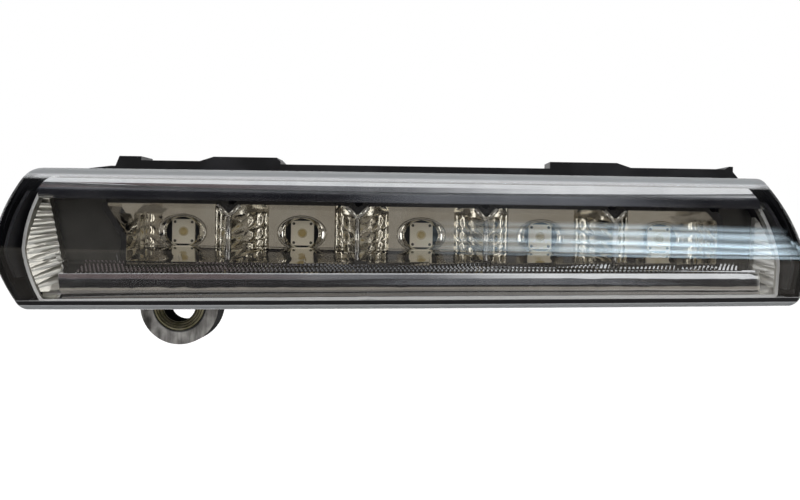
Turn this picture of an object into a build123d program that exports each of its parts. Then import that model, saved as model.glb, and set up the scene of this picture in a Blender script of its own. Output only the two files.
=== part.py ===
from build123d import *
import os
from math import asin, cos, degrees, radians, sin

# Daytime running light for a car front, in millimetres.
# X runs along the lamp, Y points back into the car and Z points up.
# The pieces are drawn about the middle lamp cell, on the plane where lens and housing meet.
# They are exported about the rear seat of the mounting ear, where the lamp is bolted on.

# Row of lamp cells
led_count = 5
led_pitch = 37.6
cell_ceiling = 8.3
ceiling_fall = 1.0
cell_floor_left = 8.9
cell_floor_right = 6.6
cell_floor_back = 4.4
cell_back_half = 10.3
cell_end_wing = 10.8
wing_bulge = 1.6
ridge_width = 1.2
top_chamfer = 3.2
mouth_y = 1.5
cell_depth = 24.5
reflector_wall = 1.7
hole_radius = 5.3
hole_flare = 1.7
flare_reach = 5.6
flare_height = 9.6
flare_depth = 7.5

# Front outline of the lamp
left_end = 45.2
right_end = 32.4
top_bar_height = 8.0
bottom_left_depth = 22.55
bottom_right_depth = 17.85
nose_drop = 6.0
left_top_setback = 8.6
left_bottom_setback = 6.6
right_top_setback = 11.3
right_bottom_setback = 0.8
left_top_bulge = 1.93
left_bottom_bulge = 0.85
right_top_bulge = 1.85
left_top_radius = 7.0
left_bottom_radius = 4.0
right_top_radius = 3.5
right_bottom_radius = 3.5
nose_radius = 6.0

# Lens
lens_depth = 17.0
lens_top_depth = 9.0
lens_bottom_depth = 10.0
upper_face_bulge = 1.2
lower_face_bulge = 0.8
crease_radius = 9.0
plan_radius = 1800.0
lens_edge_radius = 1.2
lens_wall = 2.0
lens_foot_depth = 2.0
tongue_width = 1.5
tongue_depth = 5.0
fit_gap = 0.3

# Rear housing
channel_outer_wall = 1.2
collar_wall = 1.5
bead_depth = 2.0
collar_depth = 10.0
body_inset = 5.0
body_wall = 2.0
cheek_wall = 0.9
cheek_top = 11.0
cheek_bottom = 13.0
back_wall_gap = 0.4
back_wall = 2.5
screw_boss_wall = 1.2
screw_boss_depth = 3.5

# Top rail with two wide tabs and two small hooks
rail_front = 12.0
rail_depth = 14.0
rail_top = 21.0
rail_shoulder = 0.6
rail_left = 94.0
rail_right = 95.0
rail_lead = 8.0
rail_step = 0.8
rail_wall = 2.0
rail_bay = 15.0
rail_rib = 1.6
tab_rise = 2.0
tab_width = 20.2
tab_ramp = 4.3
left_tab_x = -53.0
right_tab_x = 48.6
hook_rise = 1.2
hook_width = 6.6

# Bezel
left_bezel_margin = 3.4
right_bezel_margin = 2.4
lip_depth = 1.2
lip_wall = 0.9
bezel_rear = 7.0
bar_lip_y = -3.0
brow_front = -5.9
brow_rise = 0.9
brow_bulge = 0.62
bottom_bar_y = -2.2
bottom_bar_bulge = 0.14
ledge_depth = 7.7
ledge_height = 2.4
fan_flutes = 11
fan_turn = 2.5
fan_foot = 4.6
flute_radius = 1.5
flute_depth = 0.75
flute_rise = 0.085
fan_centre_reach = 52.0
fan_centre_height = 9.0
left_fan_reach = 34.0
left_fan_lean = 12.6
right_fan_reach = 22.7
right_fan_lean = -2.0
mask_thickness = 1.5

# Lamps and board
led_width = 7.2
led_height = 7.8
led_body = 1.5
led_corner = 1.0
emitter_radius = 1.1
emitter_rise = 0.6
board_thickness = 1.6
board_half_height = 5.5
board_right = 22.0
board_tongue_top = 2.5
component_drop = 3.0
can_radius = 1.8
can_height = 4.5
diode_width = 4.4
diode_height = 2.6
diode_body = 2.2
chip_width = 5.0
chip_height = 4.0
chip_body = 1.5
inductor_side = 6.0
inductor_body = 3.0
resistor_width = 1.6
resistor_height = 3.2
resistor_body = 0.5

# Heat sink
pad_thickness = 0.5
gasket_thickness = 1.0
gasket_rim = 3.0
flange_thickness = 3.0
flange_left = 22.8
flange_right = 4.3
pedestal_half_height = 5.0
pedestal_left = 8.8
pedestal_right = 1.8
fin_height = 12.0
fin_thickness = 1.8
fin_pitch = 8.4
sink_screw_inset = 4.0
sink_screw_rim = 0.5

# Mounting ear and its sleeve
ear_offset = 2.8
ear_drop = 23.9
ear_radius = 12.7
ear_length = 12.0
ear_web = 20.0
sleeve_bore = 10.5
sleeve_wall = 1.6
sleeve_flange_radius = 8.2
sleeve_flange = 1.2
sleeve_proud = 0.5
sleeve_step = 0.9
sleeve_ring = 0.3

# Socket for the plug, and the breather
socket_offset = 14.3
socket_width = 16.0
socket_height = 13.0
socket_wall = 1.6
socket_depth = 15.0
socket_flange = 2.0
socket_flange_rim = 1.3
socket_corner = 2.5
seal_thickness = 1.0
pin_width = 2.0
pin_thickness = 0.8
pin_spacing = 5.0
pin_recess = 6.5
vent_offset = 15.5
vent_radius = 4.2
vent_height = 3.0
vent_bore = 1.5

# Screws
screw_radius = 1.25
screw_head_radius = 2.4
screw_head = 1.8
screw_gap = 0.1
sink_screw_radius = 1.5
sink_screw_head_radius = 3.0
sink_screw_head = 2.2
ear_plate = 2.5

# Heights and depths that follow from the sizes above
row_half = (led_count - 1) / 2 * led_pitch
led_places = [led_pitch * (i - (led_count - 1) / 2) for i in range(led_count)]
bezel_margin = lens_wall + fit_gap
top_edge = cell_ceiling + top_bar_height + bezel_margin - fit_gap * 2
left_nose_x = -row_half - left_end
right_nose_x = row_half + right_end
tongue_outer = channel_outer_wall + fit_gap
tongue_inner = tongue_outer + tongue_width
collar_inner = tongue_inner + fit_gap
collar_opening = collar_inner + collar_wall
body_opening = body_inset + body_wall
channel_floor = tongue_depth + bead_depth
ledge_y = bezel_rear + mask_thickness
cell_back = mouth_y + cell_depth
led_front = cell_back + reflector_wall + fit_gap
board_front = led_front + led_body
board_rear = board_front + board_thickness
pedestal_front = board_rear + pad_thickness
back_wall_front = pedestal_front + back_wall_gap
back_wall_rear = back_wall_front + back_wall
flange_front = back_wall_rear + gasket_thickness
flange_rear = flange_front + flange_thickness
cell_wing = led_pitch / 2 - ridge_width / 2
ear_x = -row_half - ear_offset
ear_z = -ear_drop
ear_seat = flange_front + ear_length
socket_x = row_half + socket_offset
vent_x = left_nose_x + vent_offset
sink_screw_height = board_half_height + fit_gap + sink_screw_radius + screw_boss_wall
flange_half_height = sink_screw_height + sink_screw_head_radius + sink_screw_rim
post_radius = screw_radius + screw_boss_wall
reflector_end = row_half + cell_end_wing + reflector_wall
post_reach = reflector_end + fit_gap + screw_head_radius
far = 3 * (left_end + row_half)


def slab(face, front, rear):
    """Prism of a front-view face between two depths."""
    return extrude(Plane((0, rear, 0), (1, 0, 0), (0, -1, 0)) * face, amount=rear - front)


def run(face, left, right):
    """Prism of a side-view face, drawn as depth and height, along the lamp."""
    return extrude(Plane((left, 0, 0), (0, 1, 0), (1, 0, 0)) * face, amount=right - left)


def plan(face, low, high):
    """Prism of a plan-view face between two heights."""
    return extrude(Plane((0, 0, low)) * face, amount=high - low)


def polygon(*points):
    return make_face(Polyline(*points, close=True))


def rectangle(left, right, low, high):
    return polygon((left, low), (right, low), (right, high), (left, high))


def disc(x, z, radius):
    return Pos(x, z) * Circle(radius)


def rounded(face, corner, radius):
    nearest = face.vertices().sort_by_distance((corner[0], corner[1], 0))[0]
    return fillet(nearest, radius)


def inset(face, amount):
    return offset(face, amount=-amount, kind=Kind.INTERSECTION)


def lamp_outline(left_margin=0.0, right_margin=0.0):
    """Front outline; the margins draw its ends in towards the middle."""
    left = left_nose_x + left_margin
    right = right_nose_x - right_margin
    left_nose = (left, -nose_drop)
    right_nose = (right, -nose_drop)
    top_left = (left + left_top_setback, top_edge)
    top_right = (right - right_top_setback, top_edge)
    bottom_left = (left + left_bottom_setback, -bottom_left_depth)
    bottom_right = (right - right_bottom_setback, -bottom_right_depth)
    face = make_face(
        [
            Line(top_left, top_right),
            SagittaArc(top_right, right_nose, right_top_bulge),
            Line(right_nose, bottom_right),
            Line(bottom_right, bottom_left),
            SagittaArc(bottom_left, left_nose, left_bottom_bulge),
            SagittaArc(left_nose, top_left, left_top_bulge),
        ]
    )
    face = rounded(face, top_left, left_top_radius)
    face = rounded(face, top_right, right_top_radius)
    face = rounded(face, bottom_right, right_bottom_radius)
    face = rounded(face, bottom_left, left_bottom_radius)
    face = rounded(face, right_nose, nose_radius)
    return rounded(face, left_nose, nose_radius)


outline = lamp_outline()
bezel_outline = inset(lamp_outline(left_bezel_margin, right_bezel_margin), bezel_margin)


def bottom_edge(x):
    """Height of the sloping lower edge of the outline."""
    left = left_nose_x + left_bottom_setback
    right = right_nose_x - right_bottom_setback
    share = (x - left) / (right - left)
    return -bottom_left_depth + share * (bottom_left_depth - bottom_right_depth)


def cell_floor(x):
    """Height of the cell floors at the mouth, which rise towards the right."""
    share = (x + row_half) / (2 * row_half)
    return -cell_floor_left + share * (cell_floor_left - cell_floor_right)


def lens_front():
    """Side view of the lens: the upper face leans back, the lower face turns under."""
    above = top_edge + lens_depth
    below = -bottom_left_depth - lens_depth
    lean = (lens_depth - lens_top_depth) / (top_edge + nose_drop)
    tuck = (lens_depth - lens_bottom_depth) / (bottom_left_depth - nose_drop)
    crease = (-lens_depth, -nose_drop)
    top = (-lens_top_depth + lean * lens_depth, above)
    bottom = (-lens_bottom_depth + tuck * lens_depth, below)
    behind = lens_depth + tongue_depth
    face = make_face(
        [
            SagittaArc(crease, top, upper_face_bulge),
            Line(top, (behind, above)),
            Line((behind, above), (behind, below)),
            Line((behind, below), bottom),
            SagittaArc(bottom, crease, lower_face_bulge),
        ]
    )
    return rounded(face, crease, crease_radius)


def swept(face):
    """Side-view face carried along the lamp on a wide arc, so that both ends sweep back."""
    pivot = Axis((0, plan_radius, 0), (0, 0, 1))
    half = degrees(asin((row_half + left_end + lens_depth) / plan_radius))
    start = Plane((0, 0, 0), (0, 1, 0), (1, 0, 0)) * face
    return revolve(start.rotate(pivot, -half), pivot, 2 * half)


def make_lens():
    outer = slab(outline, -2 * lens_depth, 0) & swept(lens_front())
    walls = [face for face in outer.faces() if abs(face.normal_at().Y) < fit_gap]
    rim = [edge for wall in walls for edge in wall.edges() if edge.center().Y < -lens_foot_depth]
    rim = [edge for edge in rim if abs(edge.tangent_at(0.5).Y) < 1 - fit_gap]
    outer = fillet(rim, lens_edge_radius)
    hollow = slab(inset(outline, lens_wall), -2 * lens_depth, -lens_foot_depth)
    hollow &= swept(inset(lens_front(), lens_wall))
    foot_opening = slab(inset(outline, tongue_inner), -lens_foot_depth, 0)
    tongue = slab(inset(outline, tongue_outer), 0, tongue_depth)
    tongue -= slab(inset(outline, tongue_inner), 0, tongue_depth)
    return outer - hollow - foot_opening + tongue


def make_bead():
    bead = slab(inset(outline, channel_outer_wall), tongue_depth, channel_floor)
    return bead - slab(inset(outline, collar_inner), tongue_depth, channel_floor)


def sink_screw_places():
    left = -row_half - flange_left + sink_screw_inset
    right = row_half + flange_right - sink_screw_inset
    places = []
    for x in (left, right):
        places.append((x, sink_screw_height))
        places.append((x, -sink_screw_height))
    return places


def reflector_screw_places():
    above_board = board_tongue_top + fit_gap + post_radius
    return [(-post_reach, -cell_floor_back), (post_reach, above_board)]


def ear_plate_front():
    return ledge_y + fit_gap + screw_head + fit_gap


def rail_outline():
    """Front view of the rail, from its left foot over hooks and tabs to its right foot."""
    foot = top_edge - body_inset - body_wall
    shoulder = rail_top + rail_shoulder
    tab = rail_top + tab_rise
    hook = shoulder + hook_rise
    left_hook = -rail_left + hook_rise * 2
    tab_left = left_tab_x - tab_width / 2
    tab_right = left_tab_x + tab_width / 2
    second_left = right_tab_x - tab_width / 2
    second_right = right_tab_x + tab_width / 2
    right_hook = rail_right - hook_rise * 2
    return polygon(
        (-rail_left - rail_lead, foot),
        (-rail_left - rail_lead, top_edge + rail_step),
        (-rail_left, rail_top - hook_rise),
        (left_hook - hook_rise, rail_top - hook_rise),
        (left_hook, hook),
        (left_hook + hook_width, hook),
        (left_hook + hook_width, shoulder),
        (tab_left - tab_ramp, shoulder),
        (tab_left, tab),
        (tab_right - hook_rise, tab),
        (tab_right, tab - hook_rise),
        (tab_right, rail_top),
        (second_left, rail_top),
        (second_left, tab),
        (second_right, tab),
        (second_right + tab_ramp, shoulder),
        (right_hook - hook_rise, shoulder),
        (right_hook, shoulder + rail_step),
        (right_hook + hook_rise, shoulder + rail_step),
        (right_hook + hook_rise, shoulder - rail_step),
        (rail_right + hook_rise, top_edge),
        (rail_right + hook_rise, foot),
    )


def make_rail():
    rail = slab(rail_outline(), rail_front, rail_front + rail_depth)
    low = top_edge - body_inset
    high = rail_top - rail_wall
    bays = int((rail_left + rail_right) / rail_bay)
    for bay in range(bays):
        left = -rail_left + rail_rib + bay * rail_bay
        pocket = rectangle(left, left + rail_bay - rail_rib, low, high)
        rail -= slab(pocket, rail_front + rail_wall, rail_front + rail_depth)
    return rail


def make_cheeks():
    """Black walls that rise from the collar at both ends and close the lens off from the side."""
    wall = inset(outline, collar_inner) - inset(outline, collar_inner + cheek_wall)
    wall &= rectangle(-far, -row_half - left_end / 2, -cheek_bottom, cheek_top) + rectangle(
        row_half + right_end / 2, far, -cheek_bottom, cheek_top
    )
    return slab(wall, -lens_depth, bead_depth) & swept(inset(lens_front(), lens_wall + fit_gap))


def make_housing():
    collar = slab(outline, 0, collar_depth)
    groove = slab(inset(outline, channel_outer_wall), 0, channel_floor)
    groove -= slab(inset(outline, collar_inner), 0, channel_floor)
    body = slab(inset(outline, body_inset), collar_depth, back_wall_rear)
    housing = collar - groove + body + make_rail()
    housing -= slab(inset(outline, collar_opening), 0, ledge_y)
    housing -= slab(inset(outline, body_opening), ledge_y, back_wall_front)
    housing += make_cheeks()
    boss_radius = sink_screw_radius + screw_boss_wall
    for x, z in sink_screw_places():
        boss = slab(disc(x, z, boss_radius), back_wall_front - screw_boss_depth, back_wall_front)
        housing += boss & slab(inset(outline, body_inset), ledge_y, back_wall_front)
    for x, z in reflector_screw_places():
        post = slab(disc(x, z, post_radius), ear_plate_front() + ear_plate, back_wall_front)
        housing += post
    window_left = -row_half - pedestal_left - fit_gap
    window_right = row_half + pedestal_right + fit_gap
    window_half = pedestal_half_height + fit_gap
    window = rectangle(window_left, window_right, -window_half, window_half)
    housing -= slab(window, back_wall_front, back_wall_rear)
    socket_window = socket_plug(fit_gap)
    housing -= slab(socket_window, back_wall_front, back_wall_rear)
    for x, z in sink_screw_places():
        hole = disc(x, z, sink_screw_radius + screw_gap)
        housing -= slab(hole, back_wall_front - screw_boss_depth, back_wall_rear)
    for x, z in reflector_screw_places():
        hole = disc(x, z, screw_radius + screw_gap)
        housing -= slab(hole, ear_plate_front(), back_wall_front)
    housing -= slab(disc(vent_x, 0, vent_bore), back_wall_front, back_wall_rear)
    return housing


def bezel_envelope():
    """Room for the bezel: inside the lens over its foot, and inside foot and collar."""
    lip_rear = -lens_foot_depth - fit_gap
    room = slab(bezel_outline, -lens_depth, lip_rear)
    behind = bezel_outline & inset(outline, collar_opening + fit_gap)
    return room + slab(behind, lip_rear, bezel_rear)


def top_bar_section():
    """Brow over the cells: it leans forward, and its lower edge faces straight ahead."""
    lip = (bar_lip_y, top_edge - bezel_margin)
    lower = (brow_front, cell_ceiling + brow_rise)
    return make_face(
        [
            SagittaArc(lip, lower, -brow_bulge),
            Line(lower, (bezel_rear, lower[1])),
            Line((bezel_rear, lower[1]), (bezel_rear, lip[1])),
            Line((bezel_rear, lip[1]), lip),
        ]
    )


def bottom_bar_section(x):
    lip = (bar_lip_y, bottom_edge(x) + bezel_margin)
    ledge = (bottom_bar_y + ledge_depth, cell_floor(x) - fit_gap)
    upper = (bottom_bar_y, ledge[1] - ledge_height)
    bulge = (upper[1] - lip[1]) * bottom_bar_bulge
    face = make_face(
        [
            SagittaArc(upper, lip, -bulge),
            Line(lip, (bezel_rear, lip[1])),
            Line((bezel_rear, lip[1]), (bezel_rear, ledge[1])),
            Line((bezel_rear, ledge[1]), ledge),
            Line(ledge, upper),
        ]
    )
    return Plane((x, 0, 0), (0, 1, 0), (1, 0, 0)) * face


def fan_tools(side):
    """Tools of one end: the space in front of the fan, the space between the fans, and the flutes."""
    if side < 0:
        foot_x = -row_half - left_fan_reach
        lean = radians(left_fan_lean)
        rim_x = left_nose_x + left_bezel_margin + bezel_margin
    else:
        foot_x = row_half + right_fan_reach
        lean = radians(right_fan_lean)
        rim_x = right_nose_x - right_bezel_margin - bezel_margin
    foot_y = bezel_rear - fan_foot
    foot = Vector(foot_x, foot_y, fan_centre_height)
    edge = Vector(sin(lean), 0, -cos(lean))
    outward = Vector(side * cos(lean), 0, side * sin(lean))
    rim = Vector(rim_x, bar_lip_y, -nose_drop)
    slope = (foot_y - bar_lip_y) / (rim - foot).dot(outward)
    normal = (outward * -slope + Vector(0, -1, 0)).normalized()
    half_far = Pos(0, 0, far / 2) * Box(far, far, far)
    before = Plane(foot, x_dir=edge, z_dir=normal) * half_far
    inside = Plane(foot, x_dir=edge, z_dir=outward * -1) * half_far
    centre = foot - Vector(side * fan_centre_reach, 0, 0)
    flutes = []
    for k in range(fan_flutes):
        turn = radians(fan_turn * k)
        ray = Vector(side * cos(turn), 0, -sin(turn))
        reach = (foot - centre).dot(outward) / ray.dot(outward)
        along = ray + Vector(0, -slope * ray.dot(outward), 0) + normal * flute_rise
        start = centre + ray * reach + normal * (flute_radius - flute_depth)
        flutes.append(Plane(start, z_dir=along) * Cylinder(flute_radius, far / 4))
    return before, inside, flutes


def make_bezel():
    room = bezel_envelope()
    top_bar = run(top_bar_section(), -far, far)
    sections = [bottom_bar_section(left_nose_x), bottom_bar_section(right_nose_x)]
    bottom_bar = loft(sections, ruled=True)
    lip_front = bar_lip_y - lip_depth / 2
    lip = slab(bezel_outline, lip_front, 0)
    lip -= slab(inset(bezel_outline, lip_wall), lip_front, 0)
    bars = top_bar + bottom_bar
    blocks = []
    for side in (-1, 1):
        before, inside, flutes = fan_tools(side)
        bars &= inside
        block = slab(bezel_outline, bar_lip_y, bezel_rear) & room
        block = block - before - inside
        for flute in flutes:
            block -= flute
        blocks.append(block)
    bezel = (bars + lip) & room
    for block in blocks:
        bezel += block
    return bezel


def make_mask():
    mask = slab(inset(outline, collar_opening + fit_gap), bezel_rear, ledge_y)
    side = cell_end_wing + reflector_wall + fit_gap
    low = -cell_floor_left - reflector_wall - fit_gap
    high = cell_ceiling + reflector_wall + fit_gap
    window = rectangle(-row_half - side, row_half + side, low, high)
    window += inset(flare_outline(), -reflector_wall - fit_gap)
    return mask - slab(window, bezel_rear, ledge_y)


def flare_outline():
    """Front view of the slanted upper corner beside the first cell."""
    edge = -row_half - cell_end_wing
    return polygon(
        (edge + flare_reach, cell_ceiling - flare_height),
        (edge, cell_ceiling - flare_height),
        (edge - flare_reach, cell_ceiling - ceiling_fall),
        (edge - flare_reach, cell_ceiling),
        (edge + flare_reach, cell_ceiling),
    )


def cell(place, wing_left, wing_right, grow):
    """One cell, as plan, side and front views cut out of each other."""
    back = cell_back + grow
    half = cell_back_half + grow
    left = place - wing_left - grow
    right = place + wing_right + grow
    full = cell_wing - cell_back_half
    left_bulge = wing_bulge * (wing_left - cell_back_half) / full
    right_bulge = wing_bulge * (wing_right - cell_back_half) / full
    plan_face = make_face(
        [
            Line((place - half, back), (place + half, back)),
            SagittaArc((place + half, back), (right, mouth_y), right_bulge),
            Line((right, mouth_y), (left, mouth_y)),
            SagittaArc((left, mouth_y), (place - half, back), left_bulge),
        ]
    )
    high = cell_ceiling + grow
    low = cell_floor(place) - grow
    side_face = polygon(
        (mouth_y, high),
        (back, high - ceiling_fall),
        (back, -cell_floor_back - grow),
        (mouth_y, low),
    )
    front_face = polygon(
        (left, low),
        (left, high - top_chamfer),
        (left + top_chamfer, high),
        (right - top_chamfer, high),
        (right, high - top_chamfer),
        (right, low),
    )
    shape = plan(plan_face, low, high)
    shape &= run(side_face, left, right)
    return shape & slab(front_face, mouth_y, back)


def make_reflector():
    shells = []
    hollows = []
    for i, place in enumerate(led_places):
        wing_left = cell_end_wing if i == 0 else cell_wing
        wing_right = cell_end_wing if i == led_count - 1 else cell_wing
        shells.append(cell(place, wing_left, wing_right, reflector_wall))
        hollows.append(cell(place, wing_left, wing_right, 0))
    flare_rear = mouth_y + flare_depth
    shells.append(slab(inset(flare_outline(), -reflector_wall), mouth_y, flare_rear + reflector_wall))
    hollows.append(slab(flare_outline(), mouth_y, flare_rear))
    reflector = shells[0]
    for shell in shells[1:]:
        reflector += shell
    ear_rear = ear_plate_front() + ear_plate
    ear_half = screw_head_radius + fit_gap
    for x, z in reflector_screw_places():
        side = 1 if x > 0 else -1
        wall = side * (row_half + cell_end_wing + reflector_wall / 2)
        tab = rectangle(min(x, wall), max(x, wall), z - ear_half, z + ear_half)
        reflector += slab(tab + disc(x, z, ear_half), ear_plate_front(), ear_rear)
    for hollow in hollows:
        reflector -= hollow
    for x, z in reflector_screw_places():
        reflector -= slab(disc(x, z, screw_radius + screw_gap), ear_plate_front(), ear_rear)
    # The front stays clear of the bars, so only the ridges and end walls reach the mouth
    clear_rear = bezel_rear + fit_gap
    above = rectangle(-far, far, cell_ceiling, far)
    reflector -= slab(above, -far, clear_rear)
    below = polygon(
        (-far, cell_floor(-far)),
        (far, cell_floor(far)),
        (far, -far),
        (-far, -far),
    )
    reflector -= slab(below, -far, clear_rear)
    for place in led_places:
        flare = Cone(hole_radius, hole_radius + hole_flare, reflector_wall)
        reflector -= Pos(place, cell_back + reflector_wall / 2, 0) * Rot(90, 0, 0) * flare
    return reflector


def make_led(place):
    face = Pos(place, 0) * RectangleRounded(led_width, led_height, led_corner)
    return slab(face, led_front, board_front)


def make_emitter(place):
    """Clear dome of spherical form over the light source."""
    ball = (emitter_radius**2 + emitter_rise**2) / (2 * emitter_rise)
    dome = Pos(place, led_front - emitter_rise + ball, 0) * Sphere(ball)
    return dome & slab(disc(place, 0, 2 * emitter_radius), led_front - 2 * ball, led_front)


def gap_places():
    """Middles of the gaps between neighbouring lamps, where the board is free."""
    return [(left + right) / 2 for left, right in zip(led_places, led_places[1:])]


def board_screw_places():
    places = gap_places()
    return [(places[0], -component_drop), (places[-1], -component_drop)]


def make_board():
    left = -post_reach + post_radius + fit_gap
    shoulder = post_reach - post_radius - fit_gap
    board = rectangle(left, shoulder, -board_half_height, board_half_height)
    board += rectangle(shoulder, row_half + board_right, -board_half_height, board_tongue_top)
    solid = slab(board, board_front, board_rear)
    for x, z in board_screw_places():
        solid -= slab(disc(x, z, screw_radius + screw_gap), board_front, board_rear)
    return solid


def pedestal_face(shrink=0.0):
    left = -row_half - pedestal_left + shrink
    right = row_half + pedestal_right - shrink
    half = pedestal_half_height - shrink
    return rectangle(left, right, -half, half)


def make_pad():
    pad = slab(pedestal_face(fit_gap), board_rear, pedestal_front)
    for x, z in board_screw_places():
        pad -= slab(disc(x, z, screw_radius + screw_gap), board_rear, pedestal_front)
    return pad


def flange_face():
    left = -row_half - flange_left
    right = row_half + flange_right
    face = rectangle(left, right, -flange_half_height, flange_half_height)
    return fillet(face.vertices(), sink_screw_inset)


def make_gasket():
    gasket = slab(flange_face() - pedestal_face(-gasket_rim / 2), back_wall_rear, flange_front)
    for x, z in sink_screw_places():
        gasket -= slab(disc(x, z, sink_screw_radius + screw_gap), back_wall_rear, flange_front)
    return gasket


def make_heat_sink():
    sink = slab(flange_face(), flange_front, flange_rear)
    sink += slab(pedestal_face(), pedestal_front, flange_front)
    left = -row_half - flange_left + sink_screw_inset
    right = row_half + flange_right - sink_screw_inset
    fins = int((right - left) / fin_pitch) + 1
    first = (left + right) / 2 - (fins - 1) * fin_pitch / 2
    half = fin_thickness / 2
    for k in range(fins):
        middle = first + k * fin_pitch
        fin = rectangle(middle - half, middle + half, -flange_half_height, flange_half_height)
        sink += slab(fin, flange_rear, flange_rear + fin_height)
    web = polygon(
        (ear_x - ear_radius, ear_z),
        (ear_x + ear_radius, ear_z),
        (ear_x + ear_web, -flange_half_height),
        (ear_x - ear_web, -flange_half_height),
    )
    sink += slab(web, flange_front, flange_rear + flange_thickness)
    sink += slab(disc(ear_x, ear_z, ear_radius), flange_front, ear_seat)
    for x, z in sink_screw_places():
        room = disc(x, z, sink_screw_head_radius + 2 * fit_gap)
        sink -= slab(room, flange_rear, flange_rear + fin_height)
        hole = disc(x, z, sink_screw_radius + screw_gap)
        sink -= slab(hole, flange_front, flange_rear)
    for x, z in board_screw_places():
        sink -= slab(disc(x, z, screw_radius + screw_gap), pedestal_front, flange_front)
    tube = disc(ear_x, ear_z, sleeve_bore / 2 + sleeve_wall + screw_gap / 2)
    sink -= slab(tube, flange_front, ear_seat)
    seat = disc(ear_x, ear_z, sleeve_flange_radius + fit_gap)
    return sink - slab(seat, flange_front, sleeve_flange_rear())


def sleeve_flange_rear():
    return flange_front - sleeve_proud + sleeve_flange


def make_sleeve():
    front = flange_front - sleeve_proud
    bore = sleeve_bore / 2
    sleeve = slab(disc(ear_x, ear_z, sleeve_flange_radius), front, sleeve_flange_rear())
    sleeve += slab(disc(ear_x, ear_z, bore + sleeve_wall), front, ear_seat)
    sleeve -= slab(disc(ear_x, ear_z, bore), front, ear_seat)
    sleeve -= slab(disc(ear_x, ear_z, bore + 2 * sleeve_step), front, front + sleeve_ring)
    return sleeve - slab(disc(ear_x, ear_z, bore + sleeve_step), front, front + sleeve_step)


def screw(place, seat, length, radius, head_radius, head, facing):
    """Plain screw; facing is 1 for a head towards the back, and -1 for one towards the front."""
    top = seat + facing * head
    tip = seat - facing * length
    body = slab(disc(*place, head_radius), min(seat, top), max(seat, top))
    return body + slab(disc(*place, radius), min(seat, tip), max(seat, tip))


def make_sink_screws():
    length = flange_thickness + gasket_thickness + back_wall + screw_boss_depth / 2
    sizes = (length, sink_screw_radius, sink_screw_head_radius, sink_screw_head)
    return [screw(place, flange_rear, *sizes, 1) for place in sink_screw_places()]


def make_board_screws():
    length = board_thickness + pad_thickness + back_wall
    sizes = (length, screw_radius, screw_head_radius, screw_head)
    return [screw(place, board_front, *sizes, -1) for place in board_screw_places()]


def make_reflector_screws():
    length = ear_plate + 2 * screw_boss_depth
    sizes = (length, screw_radius, screw_head_radius, screw_head)
    return [screw(place, ear_plate_front(), *sizes, -1) for place in reflector_screw_places()]


def socket_face(width, height):
    corner = min(socket_corner, height / 3)
    return Pos(socket_x, -component_drop) * RectangleRounded(width, height, corner)


def socket_plug(gap):
    """The part of the socket that passes through the back wall."""
    width = socket_width - 2 * socket_wall + 2 * gap
    height = socket_height - 2 * socket_wall + 2 * gap
    return socket_face(width, height)


def pin_places():
    return [socket_x - pin_spacing / 2, socket_x + pin_spacing / 2]


def pin_face(x, gap=0.0):
    half_width = pin_width / 2 + gap
    half_thick = pin_thickness / 2 + gap
    middle = -component_drop
    return rectangle(x - half_thick, x + half_thick, middle - half_width, middle + half_width)


def make_socket():
    flange_start = back_wall_rear + seal_thickness
    flange_end = flange_start + socket_flange
    rim = 2 * socket_flange_rim
    socket = slab(socket_face(socket_width + rim, socket_height + rim), flange_start, flange_end)
    socket += slab(socket_plug(0), back_wall_front, flange_start)
    socket += slab(socket_face(socket_width, socket_height), flange_end, flange_end + socket_depth)
    cavity = socket_face(socket_width - 2 * socket_wall, socket_height - 2 * socket_wall)
    socket -= slab(cavity, flange_end, flange_end + socket_depth)
    for x in pin_places():
        socket -= slab(pin_face(x, screw_gap), back_wall_front, flange_end)
    return socket


def make_pins():
    tip = back_wall_rear + seal_thickness + socket_flange + socket_depth - pin_recess
    return [slab(pin_face(x), board_rear, tip) for x in pin_places()]


def make_seal():
    rim = 2 * socket_flange_rim
    seal = socket_face(socket_width + rim, socket_height + rim) - socket_plug(screw_gap)
    return slab(seal, back_wall_rear, back_wall_rear + seal_thickness)


def make_vent():
    cap = slab(disc(vent_x, 0, vent_radius), back_wall_rear, back_wall_rear + vent_height)
    rim = cap.edges().filter_by(GeomType.CIRCLE).sort_by(Axis.Y)[-1]
    cap = chamfer(rim, vent_height / 3)
    slot = rectangle(vent_x - vent_radius, vent_x + vent_radius, -vent_bore / 2, vent_bore / 2)
    cap -= slab(slot, back_wall_rear, back_wall_rear + vent_height / 3)
    return cap + slab(disc(vent_x, 0, vent_bore - screw_gap), back_wall_front, back_wall_rear)


def on_board(x, z, width, height, thickness):
    """Box-shaped part soldered to the front of the board."""
    face = Pos(x, z) * Rectangle(width, height)
    return slab(face, board_front - thickness, board_front)


def make_capacitors():
    x = gap_places()[-1]
    solids = []
    for side in (-1, 1):
        can = disc(x + side * (can_radius + fit_gap), component_drop, can_radius)
        solids.append(slab(can, board_front - can_height, board_front))
    return solids


def make_resistors():
    solids = []
    for place in led_places:
        x = place + led_width
        solids.append(on_board(x, 0, resistor_width, resistor_height, resistor_body))
    return solids


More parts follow.
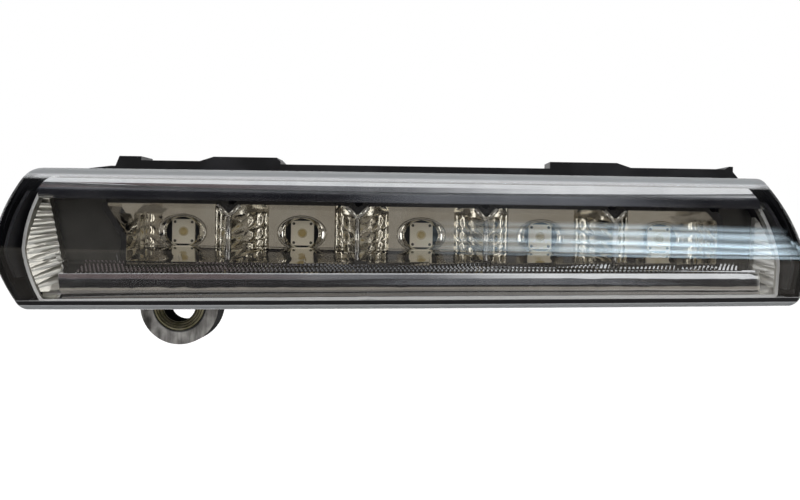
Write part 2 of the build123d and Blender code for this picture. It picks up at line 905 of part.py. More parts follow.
gaps = gap_places()
nodes = {
    "outer_lens": make_lens(),
    "sealing_bead": make_bead(),
    "rear_housing": make_housing(),
    "bezel": make_bezel(),
    "inner_mask": make_mask(),
    "reflector": make_reflector(),
    "led_board": make_board(),
    "thermal_pad": make_pad(),
    "heat_sink": make_heat_sink(),
    "heat_sink_gasket": make_gasket(),
    "ear_sleeve": make_sleeve(),
    "heat_sink_screws": make_sink_screws(),
    "board_screws": make_board_screws(),
    "reflector_screws": make_reflector_screws(),
    "connector_socket": make_socket(),
    "connector_pins": make_pins(),
    "connector_seal": make_seal(),
    "vent_cap": make_vent(),
    "suppressor_diode": on_board(gaps[0], component_drop, diode_width, diode_height, diode_body),
    "driver_chip": on_board(gaps[1], component_drop, chip_width, chip_height, chip_body),
    "inductor": on_board(gaps[2], 0, inductor_side, inductor_side, inductor_body),
    "capacitors": make_capacitors(),
    "resistors": make_resistors(),
}
for i, place in enumerate(led_places):
    nodes[f"led_body_{i + 1}"] = make_led(place)
    nodes[f"led_emitter_{i + 1}"] = make_emitter(place)

os.makedirs("parts", exist_ok=True)
to_seat = Pos(-ear_x, -ear_seat, -ear_z)
for name, shape in nodes.items():
    solids = shape if isinstance(shape, list) else shape.solids()
    placed = [to_seat * solid for solid in solids]
    whole = placed[0] if len(placed) == 1 else Compound(children=placed)
    export_step(whole, f"parts/{name}.step")
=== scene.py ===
from math import cos, pi, radians, sin

import bmesh
import bpy
from mathutils import Matrix, Vector


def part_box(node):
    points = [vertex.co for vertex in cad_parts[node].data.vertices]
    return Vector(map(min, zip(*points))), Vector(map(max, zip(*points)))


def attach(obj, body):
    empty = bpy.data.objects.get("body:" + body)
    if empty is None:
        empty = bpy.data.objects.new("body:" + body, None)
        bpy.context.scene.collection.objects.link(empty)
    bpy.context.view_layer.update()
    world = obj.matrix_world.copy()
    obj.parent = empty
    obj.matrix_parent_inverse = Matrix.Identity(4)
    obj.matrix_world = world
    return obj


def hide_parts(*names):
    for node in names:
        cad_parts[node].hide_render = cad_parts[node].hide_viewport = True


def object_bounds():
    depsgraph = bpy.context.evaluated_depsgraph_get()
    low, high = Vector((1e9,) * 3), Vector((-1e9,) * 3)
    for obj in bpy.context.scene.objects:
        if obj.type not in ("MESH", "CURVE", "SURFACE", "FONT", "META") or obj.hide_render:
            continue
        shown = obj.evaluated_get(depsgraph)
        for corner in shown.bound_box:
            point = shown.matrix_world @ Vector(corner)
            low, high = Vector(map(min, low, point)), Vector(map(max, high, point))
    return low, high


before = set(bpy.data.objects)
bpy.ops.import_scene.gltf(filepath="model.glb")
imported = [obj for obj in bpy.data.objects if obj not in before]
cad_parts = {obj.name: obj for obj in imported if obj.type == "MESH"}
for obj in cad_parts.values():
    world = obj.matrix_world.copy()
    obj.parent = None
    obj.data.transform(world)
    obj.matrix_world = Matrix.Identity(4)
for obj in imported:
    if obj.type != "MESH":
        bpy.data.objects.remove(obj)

cad_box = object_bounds()

# Rear housing: the black moulding that carries everything, with the lens channel round its front,
# a rail of tabs and hooks along its top and a flat back. It is injection moulded in one shot with a
# fine spark-eroded grain, and is slightly paler in patches where it has been handled.
HOUSING_BLACK = (0.006, 0.006, 0.007, 1)
HOUSING_WORN = (0.016, 0.016, 0.018, 1)
HOUSING_ROUGH = 0.45
HOUSING_SHEEN = 0.28
HANDLED_PATCHES = 60.0
HANDLED_TONES = (0.45, 0.8)
HANDLED_ROUGH = (-0.06, 0.08)
MOULD_GRAIN = 2600.0
MOULD_GRAIN_DETAIL = 2.0
MOULD_GRAIN_RELIEF = (0.18, 0.0001)


def new_finish(name):
    material = bpy.data.materials.new(name)
    material.use_nodes = True
    return material


def setting(material, name):
    """One of a finish's own settings, such as its roughness."""
    return material.node_tree.nodes["Principled BSDF"].inputs[name]


def add_node(material, kind, **settings):
    node = material.node_tree.nodes.new(kind)
    for key, value in settings.items():
        if key in node.inputs:
            node.inputs[key].default_value = value
        else:
            setattr(node, key, value)
    return node


def wire(material, source, target):
    material.node_tree.links.new(source, target)


def feed(material, name, source):
    """Lead a value or colour to one of a finish's own settings."""
    wire(material, source, setting(material, name))


def place_on_piece(material):
    """Coordinates in metres, fixed to the lamp."""
    return add_node(material, "ShaderNodeTexCoord").outputs["Object"]


def noise_on(material, scale, detail=3.0, stretch=None):
    """Noise in the lamp's own metres; stretch draws it out along an axis."""
    place = place_on_piece(material)
    if stretch:
        mapping = add_node(material, "ShaderNodeMapping", Scale=stretch)
        wire(material, place, mapping.inputs["Vector"])
        place = mapping.outputs["Vector"]
    noise = add_node(material, "ShaderNodeTexNoise", Scale=scale, Detail=detail)
    wire(material, place, noise.inputs["Vector"])
    return noise.outputs["Fac"]


def spread(material, value, low, high, start=0.3, end=0.7):
    """A value carried from one range onto another."""
    node = add_node(material, "ShaderNodeMapRange")
    for key, number in (("From Min", start), ("From Max", end), ("To Min", low), ("To Max", high)):
        node.inputs[key].default_value = number
    wire(material, value, node.inputs["Value"])
    return node.outputs["Result"]


def two_tone(material, value, first, second, start=0.35, end=0.65):
    """Colour that goes from one tone to another as a value rises."""
    ramp = add_node(material, "ShaderNodeValToRGB")
    ramp.color_ramp.elements[0].position = start
    ramp.color_ramp.elements[0].color = first
    ramp.color_ramp.elements[1].position = end
    ramp.color_ramp.elements[1].color = second
    wire(material, value, ramp.inputs["Fac"])
    return ramp.outputs["Color"]


def roughen(material, height, strength, distance):
    """Fine relief from a height."""
    bump = add_node(material, "ShaderNodeBump", Strength=strength, Distance=distance)
    wire(material, height, bump.inputs["Height"])
    feed(material, "Normal", bump.outputs["Normal"])


def paint(node, material):
    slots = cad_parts[node].material_slots
    slots[0].material = material


def moulded_plastic(name, dark, worn, roughness):
    """A moulding with handled patches and the grain of its mould."""
    material = new_finish(name)
    patches = noise_on(material, HANDLED_PATCHES)
    feed(material, "Base Color", two_tone(material, patches, dark, worn, *HANDLED_TONES))
    least, most = [roughness + change for change in HANDLED_ROUGH]
    feed(material, "Roughness", spread(material, patches, least, most))
    roughen(material, noise_on(material, MOULD_GRAIN, MOULD_GRAIN_DETAIL), *MOULD_GRAIN_RELIEF)
    return material


housing_black = moulded_plastic("housing_black", HOUSING_BLACK, HOUSING_WORN, HOUSING_ROUGH)
setting(housing_black, "Specular IOR Level").default_value = HOUSING_SHEEN
paint("rear_housing", housing_black)

# Sealing bead: hot-melt adhesive squeezed into the housing's channel before the lens is pressed in.
# It is soft and black, and only a line of it is ever seen.
SEALANT_BLACK = (0.01, 0.01, 0.01, 1)
SEALANT_GREY = (0.03, 0.03, 0.03, 1)
SEALANT_ROUGH = 0.6
paint("sealing_bead", moulded_plastic("sealant", SEALANT_BLACK, SEALANT_GREY, SEALANT_ROUGH))

# Heat sink: one aluminium die casting with a flange, fins and the mounting ear that reaches below
# the lens. The skin is dull, mottled and scratched. On the ear, painted shade turns it black round
# the edge, and a painted shadow blackens the corner against the sleeve.
CAST_GREY = (0.72, 0.71, 0.69, 1)
CAST_DARK = (0.28, 0.27, 0.26, 1)
CAST_PAINTED_SHADE = (0.020, 0.020, 0.021, 1)
CAST_METAL = 0.6
CAST_SHEEN = 0.5
CAST_ROUGH = (0.34, 0.62)
CAST_MOTTLE = 160.0
CAST_MOTTLE_DETAIL = 5.0
CAST_GRAIN = 900.0
CAST_GRAIN_DETAIL = 4.0
CAST_GRAIN_RELIEF = (0.25, 0.0002)
SCRATCH_SCALE = 420.0
SCRATCH_DETAIL = 4.0
SCRATCH_STRETCH = (1.0, 1.0, 0.22)
SCRATCH_DARK = (0.22, 0.22, 0.22, 1)
SCRATCH_PALE = (1.0, 1.0, 1.0, 1)
EAR_TOP = 0.010
EAR_TOP_BLUR = 0.001
EAR_EDGE_PAINTED_SHADE = 0.92
EAR_EDGE_TURN = (0.4, 0.6)
SEAT_PAINTED_SHADOW = 0.85
SEAT_RADIUS = 0.0089
SEAT_BLUR = 0.0002


def bore_distance(material):
    """Distance from the axis of the ear's bore."""
    across = add_node(material, "ShaderNodeVectorMath", operation="MULTIPLY")
    across.inputs[1].default_value = (1, 0, 1)
    wire(material, place_on_piece(material), across.inputs[0])
    length = add_node(material, "ShaderNodeVectorMath", operation="LENGTH")
    wire(material, across.outputs["Vector"], length.inputs[0])
    return length.outputs["Value"]


def blend(material, share, first, second, how="MIX"):
    """Two colours mixed by a share; each is a plain colour or comes from another node."""
    mix = add_node(material, "ShaderNodeMix", data_type="RGBA", blend_type=how)
    for socket, colour in ((mix.inputs[6], first), (mix.inputs[7], second)):
        if isinstance(colour, tuple):
            socket.default_value = colour
        else:
            wire(material, colour, socket)
    if isinstance(share, float):
        mix.inputs["Factor"].default_value = share
    else:
        wire(material, share, mix.inputs["Factor"])
    return mix.outputs[2]


def combine(material, operation, *values):
    """Values put through one step of arithmetic; each is a plain number or comes from another node."""
    node = add_node(material, "ShaderNodeMath", operation=operation)
    for socket, value in zip(node.inputs, values):
        if isinstance(value, float):
            socket.default_value = value
        else:
            wire(material, value, socket)
    return node.outputs[0]


def below(material, value, limit, blur):
    """1 under a limit and 0 over it, with a soft change between them."""
    return spread(material, value, 1.0, 0.0, limit - blur, limit + blur)


def split_vector(material, vector):
    node = add_node(material, "ShaderNodeSeparateXYZ")
    wire(material, vector, node.inputs["Vector"])
    return node.outputs


def facing(material, axis):
    """How squarely a surface faces along an axis, from 0 to 1."""
    normal = add_node(material, "ShaderNodeNewGeometry").outputs["True Normal"]
    return combine(material, "ABSOLUTE", split_vector(material, normal)[axis])


def cast_finish(name):
    material = new_finish(name)
    mottle = noise_on(material, CAST_MOTTLE, CAST_MOTTLE_DETAIL)
    cast_tone = two_tone(material, mottle, CAST_DARK, CAST_GREY)
    scratches = noise_on(material, SCRATCH_SCALE, SCRATCH_DETAIL, SCRATCH_STRETCH)
    scratch_tone = two_tone(material, scratches, SCRATCH_DARK, SCRATCH_PALE)
    scratched = blend(material, 1.0, cast_tone, scratch_tone, "MULTIPLY")
    height = split_vector(material, place_on_piece(material))["Z"]
    # Painted shade: on the ear, the sides that face away and a ring round the sleeve's seat turn black and
    # lose their metal and sheen.
    on_ear = below(material, height, EAR_TOP, EAR_TOP_BLUR)
    edge = spread(material, facing(material, "Y"), EAR_EDGE_PAINTED_SHADE, 0.0, *EAR_EDGE_TURN)
    from_axis = bore_distance(material)
    corner = spread(material, from_axis, SEAT_PAINTED_SHADOW, 0.0, SEAT_RADIUS - SEAT_BLUR, SEAT_RADIUS)
    dark = combine(material, "MULTIPLY", on_ear, combine(material, "MAXIMUM", edge, corner))
    feed(material, "Base Color", blend(material, dark, scratched, CAST_PAINTED_SHADE))
    feed(material, "Metallic", spread(material, dark, CAST_METAL, 0.0, 0.0, SEAT_PAINTED_SHADOW))
    feed(material, "Specular IOR Level", spread(material, dark, CAST_SHEEN, 0.0, 0.0, SEAT_PAINTED_SHADOW))
    feed(material, "Roughness", spread(material, scratches, *CAST_ROUGH))
    roughen(material, noise_on(material, CAST_GRAIN, CAST_GRAIN_DETAIL), *CAST_GRAIN_RELIEF)
    return material


paint("heat_sink", cast_finish("cast_metal"))

# Heat sink gasket and connector seal: thin black rubber, punched from sheet. They lie flat on the
# housing's back wall, one under the heat sink's flange and one under the plug socket's.
RUBBER_BLACK = (0.012, 0.012, 0.012, 1)
RUBBER_GREY = (0.028, 0.028, 0.028, 1)
RUBBER_ROUGH = 0.7
gasket_rubber = moulded_plastic("gasket_rubber", RUBBER_BLACK, RUBBER_GREY, RUBBER_ROUGH)
paint("heat_sink_gasket", gasket_rubber)
paint("connector_seal", gasket_rubber)

# Ear sleeve: a turned steel bush with a flange, pressed into the ear so that the bolt doesn't crush
# the casting. It is yellow passivated, and its face keeps the rings of the turning tool, darkened
# with painted shade in their grooves; the bore is painted black as painted shade.
SLEEVE_KHAKI = (0.30, 0.28, 0.17, 1)
SLEEVE_PALE = (0.46, 0.43, 0.31, 1)
SLEEVE_PAINTED_SHADE = (0.010, 0.010, 0.009, 1)
SLEEVE_ROUGH = 0.38
SLEEVE_BORE = 0.0055
SLEEVE_BORE_BLUR = 0.0002
TURNED_METAL = 0.9
TURNED_SHEEN = 0.5
TURNED_ROUGH = (-0.08, 0.1)
TURNED_PATCHES = 420.0
TURNED_PATCH_DETAIL = 4.0
TURNED_GRAIN = 3200.0
TURNED_GRAIN_DETAIL = 2.0
TURNED_GRAIN_RELIEF = (0.12, 0.0001)
TURNING_PITCH = 0.00090
TURNING_PAINTED_SHADE = 0.8
TURNING_SPAN = (-0.2, 0.9)
TURNING_RELIEF = (0.5, 0.0002)


def turned_finish(name, dark, pale, roughness):
    """Bare or plated metal with a fine, even grain."""
    material = new_finish(name)
    setting(material, "Metallic").default_value = TURNED_METAL
    patches = noise_on(material, TURNED_PATCHES, TURNED_PATCH_DETAIL)
    feed(material, "Base Color", two_tone(material, patches, dark, pale))
    least, most = [roughness + change for change in TURNED_ROUGH]
    feed(material, "Roughness", spread(material, patches, least, most))
    roughen(material, noise_on(material, TURNED_GRAIN, TURNED_GRAIN_DETAIL), *TURNED_GRAIN_RELIEF)
    return material


def what_feeds(material, name):
    """What already leads to one of a finish's own settings."""
    return setting(material, name).links[0].from_socket


sleeve_steel = turned_finish("sleeve_steel", SLEEVE_KHAKI, SLEEVE_PALE, SLEEVE_ROUGH)
sleeve_tone = what_feeds(sleeve_steel, "Base Color")
from_axis = bore_distance(sleeve_steel)
turning = combine(sleeve_steel, "MULTIPLY", from_axis, 2 * pi / TURNING_PITCH)
groove = combine(sleeve_steel, "SINE", turning)
# Painted shade: the grooves of the turning rings are darkened, and the bore is painted black with no metal
# or sheen.
groove_painted_shade = spread(sleeve_steel, groove, 0.0, TURNING_PAINTED_SHADE, *TURNING_SPAN)
groove_shaded_tone = blend(sleeve_steel, groove_painted_shade, sleeve_tone, SLEEVE_PAINTED_SHADE)
bore_painted_shade = spread(sleeve_steel, from_axis, 1.0, 0.0, SLEEVE_BORE - SLEEVE_BORE_BLUR, SLEEVE_BORE)
feed(sleeve_steel, "Base Color", blend(sleeve_steel, bore_painted_shade, groove_shaded_tone, SLEEVE_PAINTED_SHADE))
feed(sleeve_steel, "Metallic", spread(sleeve_steel, bore_painted_shade, TURNED_METAL, 0.0, 0.0, 1.0))
feed(sleeve_steel, "Specular IOR Level", spread(sleeve_steel, bore_painted_shade, TURNED_SHEEN, 0.0, 0.0, 1.0))
roughen(sleeve_steel, groove, *TURNING_RELIEF)
paint("ear_sleeve", sleeve_steel)

# Screws: zinc plated steel, four through the heat sink's flange into the housing, two in the board and
# two in the reflector's lugs. They are cold headed with a rounded head and a cross recess, and the
# threads are rolled.
ZINC_DARK = (0.36, 0.36, 0.37, 1)
ZINC_PALE = (0.55, 0.55, 0.55, 1)
ZINC_ROUGH = 0.3
SCREW_HEAD = 0.0022
SCREW_SHANK = 0.0015
SCREW_SHARP = radians(38)
THREAD_ROOT = 0.0012
THREAD_TIP = 0.0006
THREAD_PITCH = 0.0007
HEAD_PROFILE = [
    (0.0030, 0.0), (0.0030, 0.0010), (0.00292, 0.00140),
    (0.00268, 0.00175), (0.0023, 0.00200), (0.00185, 0.00214),
]
CROSS_ARM = 0.0016
CROSS_HALF_WIDTH = 0.00042
CROSS_DEPTH = 0.0013
CROSS_POINT = 1.2
CROSS_FLOOR_ARM = 0.62
CROSS_FLOOR_WIDTH = 0.7
CROSS_SLACK = 1.001
CROSS_ANGLES = (0.0, 7.0, 14.7, 24.0, 34.0, 45.0, 56.0, 66.0, 75.3, 83.0)
screw_steel = turned_finish("screw_steel", ZINC_DARK, ZINC_PALE, ZINC_ROUGH)
for screws in ("board_screws", "reflector_screws"):
    paint(screws, screw_steel)


def mesh_from(build, name):
    """The finished mesh of what has been built."""
    mesh = bpy.data.meshes.new(name)
    build.to_mesh(mesh)
    build.free()
    return mesh


def skin(build, first, second):
    """Faces from one ring of corners to the next."""
    for step in range(len(first)):
        after = (step + 1) % len(first)
        build.faces.new((first[step], first[after], second[after], second[step]))


def close_to_point(build, ring, place):
    """Faces from a ring of corners to a point."""
    point = build.verts.new(place)
    for step in range(len(ring)):
        build.faces.new((ring[step], ring[(step + 1) % len(ring)], point))


def add_piece(name, mesh, material):
    """An added piece that rides on the lamp."""
    piece = bpy.data.objects.new(name, mesh)
    bpy.context.collection.objects.link(piece)
    mesh.materials.append(material)
    for face in mesh.polygons:
        face.use_smooth = True
    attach(piece, "root")
    return piece


def cross_radius(angle, arm, half_width):
    """Distance from the middle of a cross to its outline."""
    turn = angle % 90
    turn = min(turn, 90 - turn)
    across, along = sin(radians(turn)), cos(radians(turn))
    at_end = arm * across <= half_width * along * CROSS_SLACK
    return arm / along if at_end else half_width / across


def add_screw(build, seat, tip):
    """A headed screw that stands back from its seat; the tip lies forward of it."""
    angles = [quarter * 90 + angle for quarter in range(4) for angle in CROSS_ANGLES]

    def ring(radius_at, depth):
        places = [(radius_at(a) * cos(radians(a)), depth, radius_at(a) * sin(radians(a))) for a in angles]
        return [build.verts.new(seat + Vector(place)) for place in places]

    profile = [(THREAD_TIP, tip)]
    place = tip + THREAD_PITCH
    while place < -THREAD_PITCH:
        profile += [(THREAD_ROOT, place - THREAD_PITCH / 2), (SCREW_SHANK, place)]
        place += THREAD_PITCH
    profile += [(SCREW_SHANK, 0.0)] + HEAD_PROFILE
    floor_arm, floor_width = CROSS_ARM * CROSS_FLOOR_ARM, CROSS_HALF_WIDTH * CROSS_FLOOR_WIDTH
    rings = [ring(lambda a, radius=radius: radius, depth) for radius, depth in profile]
    rings.append(ring(lambda a: cross_radius(a, CROSS_ARM, CROSS_HALF_WIDTH), SCREW_HEAD))
    rings.append(ring(lambda a: cross_radius(a, floor_arm, floor_width), SCREW_HEAD - CROSS_DEPTH))
    for first, second in zip(rings, rings[1:]):
        skin(build, first, second)
    build.faces.new(rings[0][::-1])
    close_to_point(build, rings[-1], seat + Vector((0, SCREW_HEAD - CROSS_DEPTH * CROSS_POINT, 0)))


screws_low, screws_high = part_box("heat_sink_screws")
head_reach = HEAD_PROFILE[0][0]
flange_screw_build = bmesh.new()
for x in (screws_low.x + head_reach, screws_high.x - head_reach):
    for z in (screws_low.z + head_reach, screws_high.z - head_reach):
        screw_seat = Vector((x, screws_high.y - SCREW_HEAD, z))
        add_screw(flange_screw_build, screw_seat, screws_low.y - screw_seat.y)
bmesh.ops.recalc_face_normals(flange_screw_build, faces=flange_screw_build.faces)
flange_screw_mesh = mesh_from(flange_screw_build, "flange_screws")
flange_screws = add_piece("flange_screws", flange_screw_mesh, screw_steel)
flange_screws.data.set_sharp_from_angle(angle=SCREW_SHARP)
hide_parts("heat_sink_screws")

# Thermal pad: soft grey silicone between the board and the casting's pedestal, cut from sheet.
# It is laid in dry and held by the board, which presses it flat so that heat can pass.
PAD_GREY = (0.40, 0.41, 0.43, 1)
PAD_PALE = (0.50, 0.51, 0.53, 1)
PAD_ROUGH = 0.75
paint("thermal_pad", moulded_plastic("thermal_pad", PAD_GREY, PAD_PALE, PAD_ROUGH))

# Lamp board: glass-fibre board under black solder mask, screwed down on the thermal pad. The small
# parts that feed the lamps are soldered to its front: black mouldings and two drawn cans.
BOARD_BLACK = (0.006, 0.006, 0.007, 1)
BOARD_WORN = (0.02, 0.02, 0.018, 1)
BOARD_ROUGH = 0.45
COMPONENT_ROUGH = 0.5
CAN_ROUGH = 0.25
paint("led_board", moulded_plastic("board", BOARD_BLACK, BOARD_WORN, BOARD_ROUGH))
component_black = moulded_plastic("component_black", HOUSING_BLACK, HOUSING_WORN, COMPONENT_ROUGH)
for part in ("suppressor_diode", "driver_chip", "inductor", "resistors"):
    paint(part, component_black)
paint("capacitors", turned_finish("can_metal", ZINC_DARK, ZINC_PALE, CAN_ROUGH))

# Lamp packages: square off-white mouldings soldered to the board in a row, one behind each hole of
# the reflector. Each has a dome of yellow phosphor in its middle.
LED_WARM = (0.88, 0.80, 0.63, 1)
LED_PALE = (0.93, 0.87, 0.72, 1)
LED_ROUGH = 0.35
PHOSPHOR_DEEP = (0.52, 0.40, 0.18, 1)
PHOSPHOR_PALE = (0.66, 0.53, 0.28, 1)
PHOSPHOR_ROUGH = 0.25
led_package = moulded_plastic("led_package", LED_WARM, LED_PALE, LED_ROUGH)
led_phosphor = moulded_plastic("led_phosphor", PHOSPHOR_DEEP, PHOSPHOR_PALE, PHOSPHOR_ROUGH)
led_count = sum(name.startswith("led_body_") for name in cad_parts)
for number in range(1, led_count + 1):
    paint(f"led_body_{number}", led_package)
    paint(f"led_emitter_{number}", led_phosphor)

# Package marks: a solder window in each corner of the package and a moulded ring round its dome.
# They are shallow details of the package itself, dark brown and olive.
CORNER_BROWN = (0.075, 0.066, 0.050, 1)
CORNER_GREY = (0.11, 0.10, 0.085, 1)
RING_OLIVE = (0.60, 0.50, 0.29, 1)
RING_PALE = (0.76, 0.67, 0.45, 1)
MARK_ROUGH = 0.3
MARK_RISE = 0.00006
MARK_STEPS = 20
CORNER_ACROSS = 0.0027
CORNER_UP = 0.0030
CORNER_RADIUS = 0.00046
CORNER_MIDDLE = 0.00002
CORNER_FLAT = CORNER_RADIUS * 0.8
CORNER_PROFILE = [(CORNER_MIDDLE, -MARK_RISE), (CORNER_FLAT, -MARK_RISE), (CORNER_RADIUS, 0.0)]
RING_PROFILE = [
    (0.00112, 0.0), (0.00118, -0.00022), (0.00132, -0.00030), (0.00146, -0.00022), (0.00152, 0.0),
]
corner_brown = moulded_plastic("corner_brown", CORNER_BROWN, CORNER_GREY, MARK_ROUGH)
ring_olive = moulded_plastic("ring_olive", RING_OLIVE, RING_PALE, MARK_ROUGH)


def ring_mesh(name, centre, strips, steps):
    """Rings seen along the line of sight, each from its half width, half height and depth."""
    build = bmesh.new()
    angles = [2 * pi * step / steps for step in range(steps)]
    for strip in strips:
        rings = []
        for half_width, half_height, depth in strip:
            places = [Vector((half_width * cos(a), depth, half_height * sin(a))) for a in angles]
            rings.append([build.verts.new(centre + place) for place in places])
        for inner, outer in zip(rings, rings[1:]):
            skin(build, outer, inner)
    return mesh_from(build, name)


def round_mesh(name, centre, profile, steps):
    """A round mark from the radius and depth of each of its rings."""
    return ring_mesh(name, centre, [[(radius, radius, depth) for radius, depth in profile]], steps)


def joined(name, meshes):
    """Several meshes as one."""
    build = bmesh.new()
    for mesh in meshes:
        build.from_mesh(mesh)
        bpy.data.meshes.remove(mesh)
    return mesh_from(build, name)


for number in range(1, led_count + 1):
    package_low, package_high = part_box(f"led_body_{number}")
    face_centre = (package_low + package_high) / 2
    face_centre.y = package_low.y
    windows = []
    for across in (-CORNER_ACROSS, CORNER_ACROSS):
        for up in (-CORNER_UP, CORNER_UP):
            window_centre = face_centre + Vector((across, 0, up))
            windows.append(round_mesh("window", window_centre, CORNER_PROFILE, MARK_STEPS))
    add_piece(f"package_corners_{number}", joined("corners", windows), corner_brown)
    ring = round_mesh("ring", face_centre, RING_PROFILE, 2 * MARK_STEPS)
    add_piece(f"package_ring_{number}", ring, ring_olive)

# Reflector: a moulded tray of open cells, metallised in vacuum with a warm silver that is slightly
# uneven. Its front face is painted black, and the rim above the cells is painted black as painted
# shade where it lies under the bezel's top bar.
SILVER_WARM = (0.66, 0.63, 0.57, 1)
SILVER_PALE = (0.74, 0.72, 0.67, 1)
SILVER_ROUGH = 0.08
COATING_PATCHES = 90.0
COATING_ROUGH = (0.7, 1.4)
BLACK_FRONT_AND_RIM_SHADE = (0.010, 0.010, 0.011, 1)
SHADED_RIM_HEIGHT = 0.0322
SHADED_RIM_BLUR = 0.0001
FLUSH = 0.00004


def metallised(name, dark, pale, roughness):
    """A bright coating whose tone and polish vary a little."""
    material = new_finish(name)
    setting(material, "Metallic").default_value = 1.0
    patches = noise_on(material, COATING_PATCHES)
    feed(material, "Base Color", two_tone(material, patches, dark, pale))
    least, most = [roughness * share for share in COATING_ROUGH]
    feed(material, "Roughness", spread(material, patches, least, most))
    return material


reflector_metal = metallised("reflector_metal", SILVER_WARM, SILVER_PALE, SILVER_ROUGH)
reflector_tray = metallised("reflector_tray", SILVER_WARM, SILVER_PALE, SILVER_ROUGH)
tray_place = split_vector(reflector_tray, place_on_piece(reflector_tray))
# Painted shade on the rim above the cells, and a black front face; both lose their metal.
rim_span = (SHADED_RIM_HEIGHT - SHADED_RIM_BLUR, SHADED_RIM_HEIGHT + SHADED_RIM_BLUR)
shaded_rim = spread(reflector_tray, tray_place["Z"], 0.0, 1.0, *rim_span)
black_front = combine(reflector_tray, "COMPARE", tray_place["Y"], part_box("reflector")[0].y, FLUSH)
black_front_and_rim_shade = combine(reflector_tray, "MAXIMUM", shaded_rim, black_front)
feed(reflector_tray, "Metallic", spread(reflector_tray, black_front_and_rim_shade, 1.0, 0.0, 0.0, 1.0))
tray_silver = what_feeds(reflector_tray, "Base Color")
feed(reflector_tray, "Base Color", blend(reflector_tray, black_front_and_rim_shade, tray_silver, BLACK_FRONT_AND_RIM_SHADE))
paint("reflector", reflector_tray)

# Lamp hole lips: the back wall is dished to the left and right of each lamp hole, so that the hole lies
# in an eye-shaped scoop that throws the side light forward. They are moulded and coated with the tray.
LIP_STRIPS = [
    [(0.0052, 0.0046, 0.0016), (0.0052, 0.0046, 0.0008)],
    [
        (0.0052, 0.0046, 0.0008), (0.0056, 0.00464, 0.00052), (0.0061, 0.0047, 0.00026),
        (0.0066, 0.00475, 0.00008), (0.0070, 0.0048, -0.00004),
    ],
    [
        (0.0070, 0.0048, -0.00004), (0.00715, 0.00495, -0.00016), (0.0074, 0.0052, -0.00021),
        (0.00765, 0.00545, -0.00016), (0.0078, 0.0056, -0.00005),
    ],
    [(0.0078, 0.0056, -0.00005), (0.0080, 0.0076, -0.00005)],
]
LIP_STEPS = 96
WALL_BEFORE_LAMP = 0.0020
CELL_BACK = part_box("led_body_1")[0].y - WALL_BEFORE_LAMP
led_centres = []
for number in range(1, led_count + 1):
    led_low, led_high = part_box(f"led_body_{number}")
    led_centres.append((led_low + led_high) / 2)
    lip_centre = Vector((led_centres[-1].x, CELL_BACK, led_centres[-1].z))
    lip = ring_mesh(f"lamp_hole_lip_{number}", lip_centre, LIP_STRIPS, LIP_STEPS)
    add_piece(f"lamp_hole_lip_{number}", lip, reflector_metal)

# Pillow facets: the curved side walls of each cell are broken into small crowned facets, moulded with
# the reflector and metallised with it, so that each one shows its own spark of light.
PILLOW_COLUMNS = (0.0, 0.14, 0.40, 1.0)
PILLOW_ROWS = (0.0, 0.24, 0.58, 1.0)
PILLOW_CROWN = 0.0011
PILLOW_FULLNESS = 0.6
PILLOW_CELLS = 12
PILLOW_LIFT = 0.00006
CELL_DEPTH = 0.0222
FLOOR_AT_BACK = -0.0042
FLOOR_AT_MOUTH = (-0.0084, -0.0079, -0.0074, -0.0068, -0.0062)
WALL_TOP_BACK = 0.0068
WALL_TOP_MOUTH = 0.0047
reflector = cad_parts["reflector"]


def between(first, last, share):
    return first + (last - first) * share


def wall_beside(centre, depth, height, side):
    """Where the reflector's side wall stands beside a point on the cell's middle plane."""
    to_piece = reflector.matrix_world.inverted()
    origin = to_piece @ Vector((centre.x, depth, centre.z + height))
    found, place, normal, face = reflector.ray_cast(origin, to_piece.to_3x3() @ Vector((side, 0, 0)))
    return (reflector.matrix_world @ place).x


def pillow_mesh(name, centre, floor_at_mouth, side):
    build = bmesh.new()

    def corner(column, row, u, v):
        """A corner of one facet, at shares of its length and height."""
        along = between(*column, u)
        foot = between(FLOOR_AT_BACK, floor_at_mouth, along)
        top = between(WALL_TOP_BACK, WALL_TOP_MOUTH, along)
        depth = CELL_BACK - PILLOW_CROWN - CELL_DEPTH * along
        height = between(foot, top, between(*row, v))
        bulge = sin(pi * u) * sin(pi * v) ** PILLOW_FULLNESS
        crown = PILLOW_CROWN * (column[1] - column[0]) ** 0.5 * bulge
        across = wall_beside(centre, depth, height, side) - side * (PILLOW_LIFT + crown)
        return build.verts.new((across, depth, centre.z + height))

    shares = [step / PILLOW_CELLS for step in range(PILLOW_CELLS + 1)]
    for column in zip(PILLOW_COLUMNS, PILLOW_COLUMNS[1:]):
        for row in zip(PILLOW_ROWS, PILLOW_ROWS[1:]):
            grid = [[corner(column, row, u, v) for v in shares] for u in shares]
            for near, far in zip(grid, grid[1:]):
                for j in range(PILLOW_CELLS):
                    corners = (near[j], far[j], far[j + 1], near[j + 1])
                    build.faces.new(corners if side > 0 else corners[::-1])
    return mesh_from(build, name)


for number, centre in enumerate(led_centres, 1):
    for side, word in ((-1, "left"), (1, "right")):
        name = f"cell_pillows_{number}_{word}"
        pillows = pillow_mesh(name, centre, FLOOR_AT_MOUTH[number - 1], side)
        add_piece(name, pillows, reflector_metal)

# Ridge caps: the rounded crests of the walls between the cells, which fork towards the ceiling where
# the cells' upper corners are cut off. They are moulded with the tray and catch thin lines of light.
CAP_RADIUS = 0.00075
CAP_SIDES = 16
CAP_FORK = 0.0032
CAP_TOP = 0.0081
CAP_FOOT = 0.0006
CAP_FORWARD = 0.0243
LINE_OF_SIGHT = Vector((0, 1, 0))


